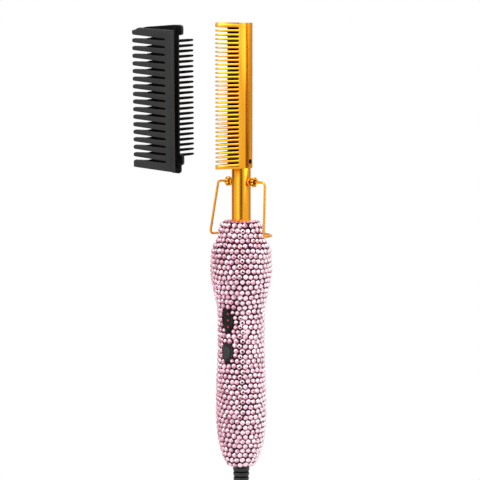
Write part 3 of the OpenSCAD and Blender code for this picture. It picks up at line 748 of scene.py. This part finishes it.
# Waves by which the rows wander: (height, waves round the handle, millimetres a radian, offset).
DRIFT_WAVES = [(0.4, 2, 11, 1), (0.28, 5, -7, 2)]
DRIFT_FADE = 8

EDGE_MARGIN = 0.2
EDGE_STEPS = 300
CLEARED_STEPS = 1.5


def drift(turn, z):
    """How far the rows wander up and down round the handle, which dies out at its ends."""
    fade = min(1, (z + END_Z) / DRIFT_FADE, (RIM_Z - z) / DRIFT_FADE)
    return fade * sum(h * math.sin(n * turn + z / reach + at) for h, n, reach, at in DRIFT_WAVES)


def squeeze(start, end, step, ends):
    """(angle, room) of stones spread evenly from start to end. An end marked 1 has its stone."""
    count = max(1, round((end - start) / step))
    room = (end - start) / count
    first, last = ends[0], count - ends[1]
    return [(start + room * k, min(room, step)) for k in range(first, last + 1)]


def row_turns(z, r, row):
    """The angles of a row's stones. Rows are staggered; beside a control they close up to its edge."""
    count = COUNT_STEP * round(2 * math.pi * (r + STONE_MID_H) / STONE_PITCH / COUNT_STEP)
    step = 2 * math.pi / count
    full = [(SEAM_TURN + step * (k + row % 2 / 2 - SEAM_SHIFT - count // 2), step) for k in range(count)]
    full = [(turn % (2 * math.pi), room) for turn, room in full]
    taken = [
        turn for turn in (math.pi / 2 + math.pi * k / EDGE_STEPS for k in range(EDGE_STEPS + 1))
        if inside_controls(r * math.sin(turn), z, STONE_PITCH / 2 - EDGE_MARGIN)
    ]
    if not taken:
        return full
    clear = CLEARED_STEPS * step
    kept = [(turn, room) for turn, room in full if not taken[0] - clear < turn < taken[-1] + clear]
    left = max(turn for turn, room in kept if turn < taken[0])
    right = min(turn for turn, room in kept if turn > taken[-1])
    return kept + squeeze(left, taken[0], step, (1, 0)) + squeeze(taken[-1], right, step, (0, 1))


def make_crystals():
    collected = {"front": Stones(), "back": Stones()}
    add_skin(collected)
    for row in range(STONE_ROWS):
        row_z = -END_Z + (row + 0.5) * STONE_ROW_H
        for angle, beside in row_turns(row_z, grip_r(row_z), row):
            z = row_z + drift(angle, row_z) + rng.gauss(0, Z_JITTER)
            r, slope = outline(z)
            turn = angle + rng.gauss(0, ROUND_JITTER) / r
            side = "front" if math.cos(turn) < 0 else "back"
            room = min(beside * (r + STONE_MID_H), STONE_PITCH + STONE_GAP) / 2 - STONE_GAP
            room *= rng.uniform(*STONE_SIZES)
            while (
                side == "front" and room > SMALLEST_STONE
                and inside_controls(r * math.sin(turn), z, room - SHRINK_STEP)
            ):
                room -= SHRINK_STEP
            if room <= SMALLEST_STONE:
                continue
            seam = abs(turn - SEAM_TURN) < beside / 2
            place = place_on_skin(r, z, slope, turn, SEAM_WOBBLE if seam else WOBBLE)
            looks = (SEAM_MOOD, TABLE_METAL) if seam else (STONE_MOOD, STONE_METAL)
            collected[side].add_stone(place, room, CRYSTAL_H * STONE_TALL, *looks)
    collected["front"].build("crystals_front", "crystal_front")
    collected["back"].build("crystals_back", "crystal_back")


RIM_RINGS, RIM_MOOD = 2, 0.18
RIM_INNER_R = NECK_R + 0.1
RIM_GAP, RIM_TALL = 0.05, 0.95


def make_rim():
    stones = Stones()
    width = (RIM_R - RIM_INNER_R) / RIM_RINGS
    for r in (RIM_INNER_R, RIM_R):
        for a in circle(SKIN_SIDES):
            stones.points.append(Vector((r * math.cos(a), r * math.sin(a), RIM_Z + SKIN_H)))
    for k in range(SKIN_SIDES):
        n = (k + 1) % SKIN_SIDES
        stones.add_face((k, SKIN_SIDES + k, SKIN_SIDES + n, n), WINE, kind=SKIN_KIND)
    for ring in range(RIM_RINGS):
        r = RIM_INNER_R + (ring + 0.5) * width
        count = int(2 * math.pi * r / (width + RIM_GAP))
        for k in range(count):
            turn = 2 * math.pi * (k + ring / 2) / count
            place = place_on_skin(r, RIM_Z, -math.pi / 2, turn)
            stones.add_stone(place, width / 2, CRYSTAL_H * RIM_TALL, RIM_MOOD)
    stones.build("crystals_rim", "crystal_rim")


# ---- Blade ----

# How much of a face's normal lies along an axis that it hardly or mostly faces.
HARDLY, MOSTLY = 0.3, 0.6


def paint_blade_slot_shade(blade):
    """Gives the walls of the blade's slots painted shade, in the darker gold."""
    blade.data.materials.append(shaded_gold)
    for face in blade.data.polygons:
        x, z = face.center.x / MM, face.center.z / MM
        in_depth = 1 - TIP_X < x < 1 - ROOT_X
        in_height = BLADE_Z + 1 < z < BLADE_Z + BLADE_LEN - 1
        if in_depth and in_height and abs(face.normal.y) < HARDLY:
            face.material_index = 1


# ---- Stand ----

STUD_SIDES, STUD_FLUTES = 96, 8
VALLEY = 0.35
WIRE_HOLE_R = WIRE_D / 2 + 0.08

# A stud from the neck's bore out: (radius, distance from the neck's axis, depth of its flutes).
STUD_PROFILE = [
    (STUD_R - 0.3, NECK_BORE_R, 0), (STUD_R, NECK_BORE_R + 0.3, 0), (STUD_R, NECK_R + 0.1, 0),
    (STUD_R + 0.75, NECK_R + 0.25, 0), (STUD_R + 0.85, NECK_R + 1.4, 0),
    (STUD_R + 0.5, NECK_R + 1.8, 0), (STUD_R, STUD_STEM - 0.2, 0), (STUD_R + 0.6, STUD_STEM + 0.2, 0.1),
    (STUD_HEAD_R - 0.35, STUD_END - 2.1, 0.45), (STUD_HEAD_R, STUD_END - 1.3, 0.75),
    (STUD_HEAD_R, STUD_END - 0.6, 0.8), (STUD_HEAD_R - 0.5, STUD_END, 0.5),
    (WIRE_HOLE_R + 0.9, STUD_END - 0.5, 0), (WIRE_HOLE_R, STUD_END - 0.8, 0),
    (WIRE_HOLE_R, STUD_END - WIRE_DEPTH, 0),
]
# Bands that take painted shade: the neck, the bore, and the valleys of the fluted ones.
SHADED_BANDS, FLUTED_BANDS = (5, 6, 12, 13), range(7, 11)


def make_stud(side, node):
    """A stud with a fluted head, whose flutes, neck and bore carry painted shade in the darker gold."""
    shape = bmesh.new()
    rings = []
    for r, y, flute in STUD_PROFILE:
        ring = []
        for a in circle(STUD_SIDES):
            cut = r - flute * (0.5 + 0.5 * math.cos(STUD_FLUTES * a)) ** 2
            x, z = cut * math.cos(a), PIVOT_Z + cut * math.sin(a)
            ring.append(shape.verts.new((x * MM, side * y * MM, z * MM)))
        rings.append(ring)
    for band, (lower, upper) in enumerate(zip(rings, rings[1:])):
        for k, face in enumerate(bridge(shape, lower, upper)):
            valley = math.cos(STUD_FLUTES * 2 * math.pi * (k + 0.5) / STUD_SIDES) > VALLEY
            face.material_index = int(band in SHADED_BANDS or (valley and band in FLUTED_BANDS))
    shape.faces.new(rings[0])
    shape.faces.new(rings[-1][::-1])
    bmesh.ops.recalc_face_normals(shape, faces=shape.faces)
    replace_node(node, shape, "gold", gold, shaded_gold, crease=ROUND_CREASE)


BEND_STEPS, FOOT_STEPS = 8, 47


def bend_points(centre, u, v, start, end):
    """Points round a bend of the wire, in the plane of two unit vectors."""
    angles = [math.radians(start + (end - start) * k / BEND_STEPS) for k in range(BEND_STEPS + 1)]
    return [centre + WIRE_BEND * (math.cos(a) * u + math.sin(a) * v) for a in angles]


def stand_half(side):
    """The wire from a stud's bore to the start of the foot's arc, on one side."""
    y, z = Vector((0, side, 0)), Vector((0, 0, 1))
    top = (STAND_TOP_W - WIRE_BEND) * y + (PIVOT_Z - WIRE_BEND) * z
    low = Vector((WIRE_BEND - STAND_LEAN, side * STAND_FOOT_W, PIVOT_Z - STAND_DROP + WIRE_BEND))
    return (
        [(STUD_END - WIRE_DEPTH) * y + PIVOT_Z * z]
        + bend_points(top, y, z, 90, 0) + bend_points(low, Vector((-1, 0, 0)), -z, 0, 90)
    )


def make_stand():
    foot_x, foot_z = WIRE_BEND - STAND_LEAN, PIVOT_Z - STAND_DROP
    arc = []
    for k in range(1, FOOT_STEPS):
        a = math.pi / 2 - math.pi * k / FOOT_STEPS
        x = foot_x + (STAND_REACH - foot_x) * math.cos(a)
        arc.append(Vector((x, STAND_FOOT_W * math.sin(a), foot_z)))
    path = stand_half(1) + arc + stand_half(-1)[::-1]
    replace_node("stand_wire", tube(path, WIRE_D / 2), "gold", gold, crease=ROUND_CREASE)


# ---- Comb cover: x runs from its outer face to its fine teeth, y from its mouth to its tips ----

LEAN_SIDE, COVER_LEAN, COVER_TURN = 51.4, 9.5, 9
COVER_FRAME = (
    Matrix.Translation(Vector((-34.9, 28.8, BLADE_Z + BLADE_LEN / 2 - 4)))
    @ Matrix.Rotation(math.radians(-LEAN_SIDE), 4, "Z")
    @ Matrix.Rotation(math.radians(COVER_LEAN), 4, "X")
    @ Matrix.Rotation(math.radians(LEAN_SIDE + COVER_TURN), 4, "Z")
)
COVER_HALF, COVER_T, REAR_X, REAR_MOUTH, REAR_BEND = 46.05, 1.6, 11.8, 2.4, 7
FLOOR_X, FLOOR_Y, CHANNEL_DEPTH = 4.6, 22, 20.8
FLOOR_INNER_X = FLOOR_X - COVER_T + 0.2
WIDE_SLOTS, WIDE_PITCH, WIDE_ROOT_Y, WIDE_TIP_Y = 17, 5, 5.2, 30.2
REAR_SLOT_Y, REAR_SLOT_HALF, REAR_SLOT_NOSE = 17.6, 1.0, 0.05
END_RISE, END_LIFT = 1.6, 0.4
LIP, MOUTH_Y, TIP_CUT_Y, TIP_CUT, TIP_TOOTH = 0.9, 0.05, 26, 1.7, 1.5

# A fine tooth from its root out: (distance, radius).
FINE_TOOTH = [(0, 1.0), (2, 1.0), (7.5, 0.92), (10.3, 0.78), (11, 0.55), (11.2, 0.25)]
FINE_TEETH, FINE_PITCH, FINE_SLANT, FINE_SIDES = 23, 3.41, 35, 16

# The clips' hooks and the foot: (low y, high y), (low z, high z) and the radii of the four corners.
HOOK_X, FOOT_X = (REAR_X - 1.2, REAR_X + COVER_T), (REAR_X, REAR_X + COVER_T)
UPPER_HOOK = (-0.9, 3.2), (41.6, 48.1), (1.2, 0.4, 1.2, 1.8)
LOWER_HOOK = (-0.9, 3.2), (-44, -37), (1.8, 0.4, 0.4, 1.2)
FOOT = (1.1, 8), (-49.7, -40.8), (2.2, 0.4, 0.4, 0.8)
CORNER_STEPS = 5
REAR_EDGE, CLIP_EDGE = 0.2, 0.35


def trim_wide_comb(shape):
    """Draws the plate's mouth out to its lip and cuts the corner of its uppermost tooth."""
    to_cover = COVER_FRAME.inverted() @ Matrix.Scale(1 / MM, 4)
    bmesh.ops.transform(shape, matrix=to_cover, verts=shape.verts)
    everything = shape.verts[:] + shape.edges[:] + shape.faces[:]
    bmesh.ops.bisect_plane(shape, geom=everything, plane_co=(0, TIP_CUT_Y, 0), plane_no=(0, 1, 0))
    for vert in shape.verts:
        if vert.co.y < MOUTH_Y:
            vert.co.y -= LIP
        if vert.co.y > TIP_CUT_Y + 1 and vert.co.z > COVER_HALF - TIP_TOOTH:
            vert.co.z -= TIP_CUT
    bmesh.ops.transform(shape, matrix=to_cover.inverted(), verts=shape.verts)


def paint_comb_slot_shade(comb):
    """Gives the walls of the wide comb's slots painted shade, in the darker black."""
    comb.data.materials.append(shaded_plastic)
    to_cover = COVER_FRAME.inverted()
    for face in comb.data.polygons:
        place, normal = to_cover @ (face.center / MM), to_cover.to_3x3() @ face.normal
        in_depth = WIDE_ROOT_Y - 1 < place.y < WIDE_TIP_Y - 2
        if in_depth and abs(normal.z) > MOSTLY and abs(place.z) < COVER_HALF - TIP_TOOTH:
            face.material_index = 1


def prism(shape, corners, low, high):
    """A solid over corners of (x, y), between two heights that may depend on y."""
    bottom = [shape.verts.new((x, y, low(y))) for x, y in corners]
    top = [shape.verts.new((x, y, high(y))) for x, y in corners]
    shape.faces.new(bottom)
    shape.faces.new(top[::-1])
    bridge(shape, bottom, top)


def cover_piece(shape, node, width):
    """Puts a shape drawn in the cover's frame in place of a node; the channel's inner faces get painted
    shade.
    """
    bmesh.ops.recalc_face_normals(shape, faces=shape.faces)
    for face in shape.faces:
        inner = face.normal.x < -HARDLY and face.calc_center_median().x > COVER_T
        face.material_index = int(inner)
    bmesh.ops.transform(shape, matrix=Matrix.Scale(MM, 4) @ COVER_FRAME, verts=shape.verts)
    replace_node(node, shape, "cover_plastic", plastic, shaded_plastic, width=width)


def add_fine_tooth(shape, z):
    """One slanted fine tooth at a height."""
    slant = math.radians(FINE_SLANT)
    along = Vector((math.cos(slant), -math.sin(slant), 0))
    across, up = Vector((math.sin(slant), math.cos(slant), 0)), Vector((0, 0, 1))
    root = Vector((REAR_X + COVER_T / 2, REAR_MOUTH + 1, z))
    rings = [
        [shape.verts.new(root + s * along + r * (math.cos(a) * across + math.sin(a) * up))
         for a in circle(FINE_SIDES)]
        for s, r in FINE_TOOTH
    ]
    close_tube(shape, rings)


def make_rear_wall():
    """The rear wall, whose slots narrow to a point far from its mouth, and its fine teeth."""
    outer_x = REAR_X + COVER_T
    cut = REAR_SLOT_Y
    cut_outer = outer_x + (FLOOR_X - outer_x) * part_way(cut, REAR_BEND, FLOOR_Y)
    cut_inner = REAR_X + (FLOOR_INNER_X - REAR_X) * part_way(cut, REAR_BEND, CHANNEL_DEPTH)
    mouth_part = [
        (REAR_X, REAR_MOUTH), (outer_x, REAR_MOUTH), (outer_x, REAR_BEND),
        (cut_outer, cut), (cut_inner, cut), (REAR_X, REAR_BEND),
    ]
    slotted_part = [
        (cut_inner, cut), (cut_outer, cut), (FLOOR_X, FLOOR_Y), (COVER_T, FLOOR_Y),
        (COVER_T, CHANNEL_DEPTH), (FLOOR_INNER_X, CHANNEL_DEPTH),
    ]

    def bottom(y):
        return -COVER_HALF

    def top(y):
        return COVER_HALF + END_LIFT + END_RISE * part_way(y, FLOOR_Y, REAR_MOUTH)

    def slot_edge(middle, side):
        """The height of a slot's edge, as a function of y."""
        return lambda y: middle + side * (
            REAR_SLOT_NOSE + REAR_SLOT_HALF * part_way(y, REAR_SLOT_Y, FLOOR_Y)
        )

    shape = bmesh.new()
    prism(shape, mouth_part, bottom, top)
    for k in range(WIDE_SLOTS + 1):
        below = (k - 1 - (WIDE_SLOTS - 1) / 2) * WIDE_PITCH
        low = slot_edge(below, 1) if k else bottom
        high = slot_edge(below + WIDE_PITCH, -1) if k < WIDE_SLOTS else top
        prism(shape, slotted_part, low, high)
    for k in range(FINE_TEETH):
        add_fine_tooth(shape, (k - (FINE_TEETH - 1) / 2) * FINE_PITCH)
    cover_piece(shape, "cover_fine_comb", REAR_EDGE)


def rounded_block(shape, x_range, y_range, z_range, radii):
    """A block whose four corners, seen along x from (low y, low z) on, are rounded by their radii."""
    (y0, y1), (z0, z1) = y_range, z_range
    corners = []
    for k, ((y, z), r) in enumerate(zip([(y0, z0), (y1, z0), (y1, z1), (y0, z1)], radii)):
        centre_y, centre_z = y + (r if y == y0 else -r), z + (r if z == z0 else -r)
        for step in range(CORNER_STEPS + 1):
            a = math.radians(180 + 90 * k + 90 * step / CORNER_STEPS)
            corners.append((centre_y + r * math.cos(a), centre_z + r * math.sin(a)))
    near, far = ([shape.verts.new((x, y, z)) for y, z in corners] for x in x_range)
    shape.faces.new(near)
    shape.faces.new(far[::-1])
    bridge(shape, near, far)


def make_clips():
    """The rounded hooks at both ends of the rear wall, and the foot under it."""
    upper = bmesh.new()
    rounded_block(upper, HOOK_X, *UPPER_HOOK)
    cover_piece(upper, "cover_clip_top", CLIP_EDGE)
    lower = bmesh.new()
    rounded_block(lower, HOOK_X, *LOWER_HOOK)
    rounded_block(lower, FOOT_X, *FOOT)
    cover_piece(lower, "cover_clip_bottom", CLIP_EDGE)


# ---- Strain relief, cord, hank and plug ----

RELIEF_GROOVES, FIRST_GROOVE, GROOVE_PITCH = 7, 2.2, 3.3

# Across a groove of the relief: (distance down, depth).
GROOVE = [
    (-0.2, 0.02), (0, 0.1), (0.1, 0.4), (0.2, 0.5), (1.05, 0.5), (1.15, 0.4), (1.25, 0.1), (1.45, 0.02)
]
RELIEF_WALL, RELIEF_EDGE, GROOVE_SHADE_DEPTH = 1.1, 0.4, 0.2


def make_relief():
    """The tapered strain relief, whose grooves carry painted shade in the darker black."""
    tip_r, tip_z = CORD_D / 2 + RELIEF_WALL, RELIEF_TOP - RELIEF_LEN
    slope = (RELIEF_R - tip_r) / RELIEF_LEN
    profile = [(0, RELIEF_TOP), (RELIEF_R - 0.5, RELIEF_TOP), (RELIEF_R - 0.12, RELIEF_TOP - 0.15)]
    for k in range(RELIEF_GROOVES):
        for d, depth in GROOVE:
            down = FIRST_GROOVE + GROOVE_PITCH * k + d
            profile.append((RELIEF_R - slope * down - depth, RELIEF_TOP - down))
    profile += [(tip_r, tip_z + RELIEF_EDGE), (tip_r - RELIEF_EDGE, tip_z), (0, tip_z)]
    relief = replace_node(
        "strain_relief", lathe(profile), "cord_rubber", rubber, shaded_plastic, crease=ROUND_CREASE
    )
    for face in relief.data.polygons:
        r, down = face.center.xy.length / MM, RELIEF_TOP - face.center.z / MM
        if r < RELIEF_R - slope * down - GROOVE_SHADE_DEPTH and 1 < down < RELIEF_LEN - 1:
            face.material_index = 1
    return relief


HANK_TURNS, STRAND_PITCH, POINTS_A_TURN = 5, 5.4, 32
STRAND_R, STRAND_WAIST = LOBE_R - CORD_D / 2, HANK_WAIST - CORD_D / 2
RUN_HALF = HANK_HALF - LOBE_R
ARC_LEN, RUN_LEN = math.pi * STRAND_R, 2 * RUN_HALF + 2


def hank_point(turn):
    """A point of the hank's winding. It starts at the upper lobe's +Y side, heading down."""
    whole, t = int(turn), turn - int(turn)
    s = t * 2 * (ARC_LEN + RUN_LEN)
    shift = 0.0
    if s < RUN_LEN:
        z = RUN_HALF - 2 * RUN_HALF * s / RUN_LEN
        y = ease(STRAND_WAIST, STRAND_R, z / RUN_HALF)
    elif s < RUN_LEN + ARC_LEN:
        a = (s - RUN_LEN) / STRAND_R
        y, z = STRAND_R * math.cos(a), -RUN_HALF - STRAND_R * math.sin(a)
    elif s < 2 * RUN_LEN + ARC_LEN:
        u = (s - RUN_LEN - ARC_LEN) / RUN_LEN
        z = -RUN_HALF + 2 * RUN_HALF * u
        y = -ease(STRAND_WAIST, STRAND_R, z / RUN_HALF)
        shift = ease(0, 1, u)
    else:
        a = (s - 2 * RUN_LEN - ARC_LEN) / STRAND_R
        y, z = -STRAND_R * math.cos(a), RUN_HALF + STRAND_R * math.sin(a)
        shift = 1.0
    x = (whole + shift - HANK_TURNS / 2) * STRAND_PITCH
    return Vector((x, y, HANK_MID + z))


def cord_path():
    turns = HANK_TURNS + 0.5 * RUN_LEN / (ARC_LEN + RUN_LEN)
    steps = int(turns * POINTS_A_TURN)
    winding = [hank_point(turns * k / steps) for k in range(1, steps)]
    return [Vector(p) for p in CORD_ROUTE] + winding + [Vector(p) for p in END_ROUTE]


def make_cord():
    points = cord_path()
    data = bpy.data.curves.new("power_cord_finish", "CURVE")
    data.dimensions = "3D"
    data.bevel_depth = CORD_D / 2 * MM
    data.bevel_resolution = 4
    data.use_fill_caps = True
    line = data.splines.new("POLY")
    line.points.add(len(points) - 1)
    for slot, point in zip(line.points, points):
        slot.co = (*(point * MM), 1)
    line.use_smooth = True
    cord = add_piece("power_cord_finish", data, "cord", "cord_rubber", rubber)
    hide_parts("power_cord", "cord_hank", "cord_end")


# ---- Lamps, floor and world ----

# Soft square lamps: azimuth, elevation, distance, side and watts.
LAMPS = {
    "key": (-95, 42, 1500, 900, 11),
    "fill": (10, 25, 1700, 1100, 9),
    "top": (-40, 82, 1300, 800, 5),
}

# Cards of the studio: azimuth from the camera's, half width in degrees, radius, and colour.
CARDS = {
    "card_middle": (0, 16, 1900, (0.46, 0.38, 0.28)),
    "card_core": (0, 11, 1800, (0.03, 0.014, 0.01)),
    "card_left": (-124, 26, 1900, (0.46, 0.36, 0.26)),
    "card_right": (124, 26, 1900, (0.6, 0.5, 0.42)),
    "card_bright": (-42, 9, 1900, (2.2, 2.2, 2.2)),
}
CARD_LOW, CARD_HIGH, CARD_STEPS = -380, 900, 8
AMBIENT = 0.62
FLOOR_GAP, FLOOR_HALF = 4, 20000
FLOOR_TONE, FLOOR_ROUGHNESS = 0.96, 0.9

# The floor's glow where it is seen directly, which grows to 1 between two distances.
FLOOR_GLOW, GLOW_NEAR, GLOW_FAR = 0.8, 500, 1200


def make_lamp(name, azimuth, elevation, distance, size, power):
    data = bpy.data.lights.new(name, "AREA")
    data.shape = "RECTANGLE"
    data.size = data.size_y = size * MM
    data.energy = power
    back = direction(azimuth, elevation)
    add_aimed(name, data, Vector((0, 0, CAMERA_AIM_Z)) + distance * back, back)


def mix_shaders(tree, factor, a, b, out):
    """Sends a mix of two shaders to a surface."""
    mix = tree.nodes.new("ShaderNodeMixShader")
    for output, socket in zip((factor, a, b), mix.inputs):
        tree.links.new(output, socket)
    tree.links.new(mix.outputs[0], out.inputs["Surface"])


def seen_directly(tree):
    """A factor of 1 for camera, glossy and transmission rays, and 0 for the others."""
    path = tree.nodes.new("ShaderNodeLightPath")
    total = path.outputs["Is Camera Ray"]
    for name in ("Is Glossy Ray", "Is Transmission Ray"):
        either = tree.nodes.new("ShaderNodeMath")
        either.operation = "MAXIMUM"
        tree.links.new(total, either.inputs[0])
        tree.links.new(path.outputs[name], either.inputs[1])
        total = either.outputs[0]
    return total


def make_world():
    world = bpy.data.worlds.new("studio")
    bpy.context.scene.world = world
    world.use_nodes = True
    tree = world.node_tree
    tree.nodes.clear()
    lit = []
    for strength in (AMBIENT, 1):
        white = tree.nodes.new("ShaderNodeBackground")
        white.inputs["Color"].default_value = (1, 1, 1, 1)
        white.inputs["Strength"].default_value = strength
        lit.append(white.outputs[0])
    mix_shaders(tree, seen_directly(tree), *lit, tree.nodes.new("ShaderNodeOutputWorld"))


def make_floor():
    z = cad_box[0].z - FLOOR_GAP * MM
    h = FLOOR_HALF * MM
    mesh = bpy.data.meshes.new("floor")
    mesh.from_pydata([(-h, -h, z), (h, -h, z), (h, h, z), (-h, h, z)], [], [(0, 1, 2, 3)])
    made = Finish("floor", [FLOOR_TONE] * 3, FLOOR_ROUGHNESS)
    away = made.node("ShaderNodeVectorMath", operation="LENGTH")
    made.link(made.coordinates, away.inputs[0])
    fade = made.map_range(away.outputs["Value"], GLOW_NEAR, GLOW_FAR, FLOOR_GLOW, 1)
    amount = made.math("MULTIPLY", seen_directly(made.tree), fade)
    glow, out = made.node("ShaderNodeEmission"), made.tree.nodes["Material Output"]
    mix_shaders(made.tree, amount, made.shader.outputs[0], glow.outputs[0], out)
    add_object("floor", mesh, made.material)


def make_card(name, azimuth, half_width, radius, color):
    """A coloured card of the studio that only shiny surfaces mirror."""
    points = []
    for k in range(CARD_STEPS + 1):
        turn = CAMERA_AZIMUTH + azimuth - half_width + 2 * half_width * k / CARD_STEPS
        way = direction(turn, 0)
        points += [(way * radius + Vector((0, 0, z))) * MM for z in (CARD_LOW, CARD_HIGH)]
    faces = [(k, k + 2, k + 3, k + 1) for k in range(0, 2 * CARD_STEPS, 2)]
    mesh = bpy.data.meshes.new(name)
    mesh.from_pydata(points, [], faces)
    material = bpy.data.materials.new(name)
    material.use_nodes = True
    tree = material.node_tree
    tree.nodes.clear()
    glow = tree.nodes.new("ShaderNodeEmission")
    glow.inputs["Color"].default_value = (*color, 1)
    out = tree.nodes.new("ShaderNodeOutputMaterial")
    tree.links.new(glow.outputs[0], out.inputs["Surface"])
    card = add_object(name, mesh, material)
    for ray in ("camera", "diffuse", "transmission", "volume_scatter", "shadow"):
        setattr(card, "visible_" + ray, False)


# ---- The scene ----

make_camera()
make_world()
make_floor()
for name, settings in LAMPS.items():
    make_lamp(name, *settings)
for name, settings in CARDS.items():
    make_card(name, *settings)

paint_blade_slot_shade(dress("comb_blade", blade_gold, "gold", 0.2))
dress("neck_tube", gold, "gold")
make_stud(1, "pivot_stud_left")
make_stud(-1, "pivot_stud_right")
dress("blade_set_screw", oxide, "steel", 0.1)
make_stand()

for node in ("handle_shell_front", "handle_shell_back"):
    NODES[node].data.materials.clear()
    NODES[node].data.materials.append(shell)
make_crystals()
make_rim()
dress("button_bezel", black, "black_plastic", 0.15)
dress("power_button", button_black, "black_plastic", 0.3)
dress("indicator_window", glass, "smoked_window", 0.2)

CARRIED = {
    "heater_core": ceramic, "temperature_sensor": ceramic, "heater_leads": sleeve, "tube_bush": ceramic,
    "shell_screws": steel, "circuit_board": board, "button_switch": black, "supply_leads": sleeve,
    "indicator_lights": red, "swivel_socket": black, "cord_swivel": black,
}
for node, material in CARRIED.items():
    NODES[node].data.materials.clear()
    NODES[node].data.materials.append(material)
    smooth(NODES[node])

relief = make_relief()
tie = dress("hank_tie", black, "black_plastic", 0.4)
plug = dress("plug_body", rubber, "cord_rubber", 1.5, 4)
blades = dress("plug_blades", brass, "brass", 0.3)
make_cord()

paint_comb_slot_shade(dress("cover_wide_comb", plastic, "cover_plastic", 0.3, prepare=trim_wide_comb))
make_rear_wall()
make_clips()

view = bpy.context.scene.view_settings
view.view_transform = "Standard"
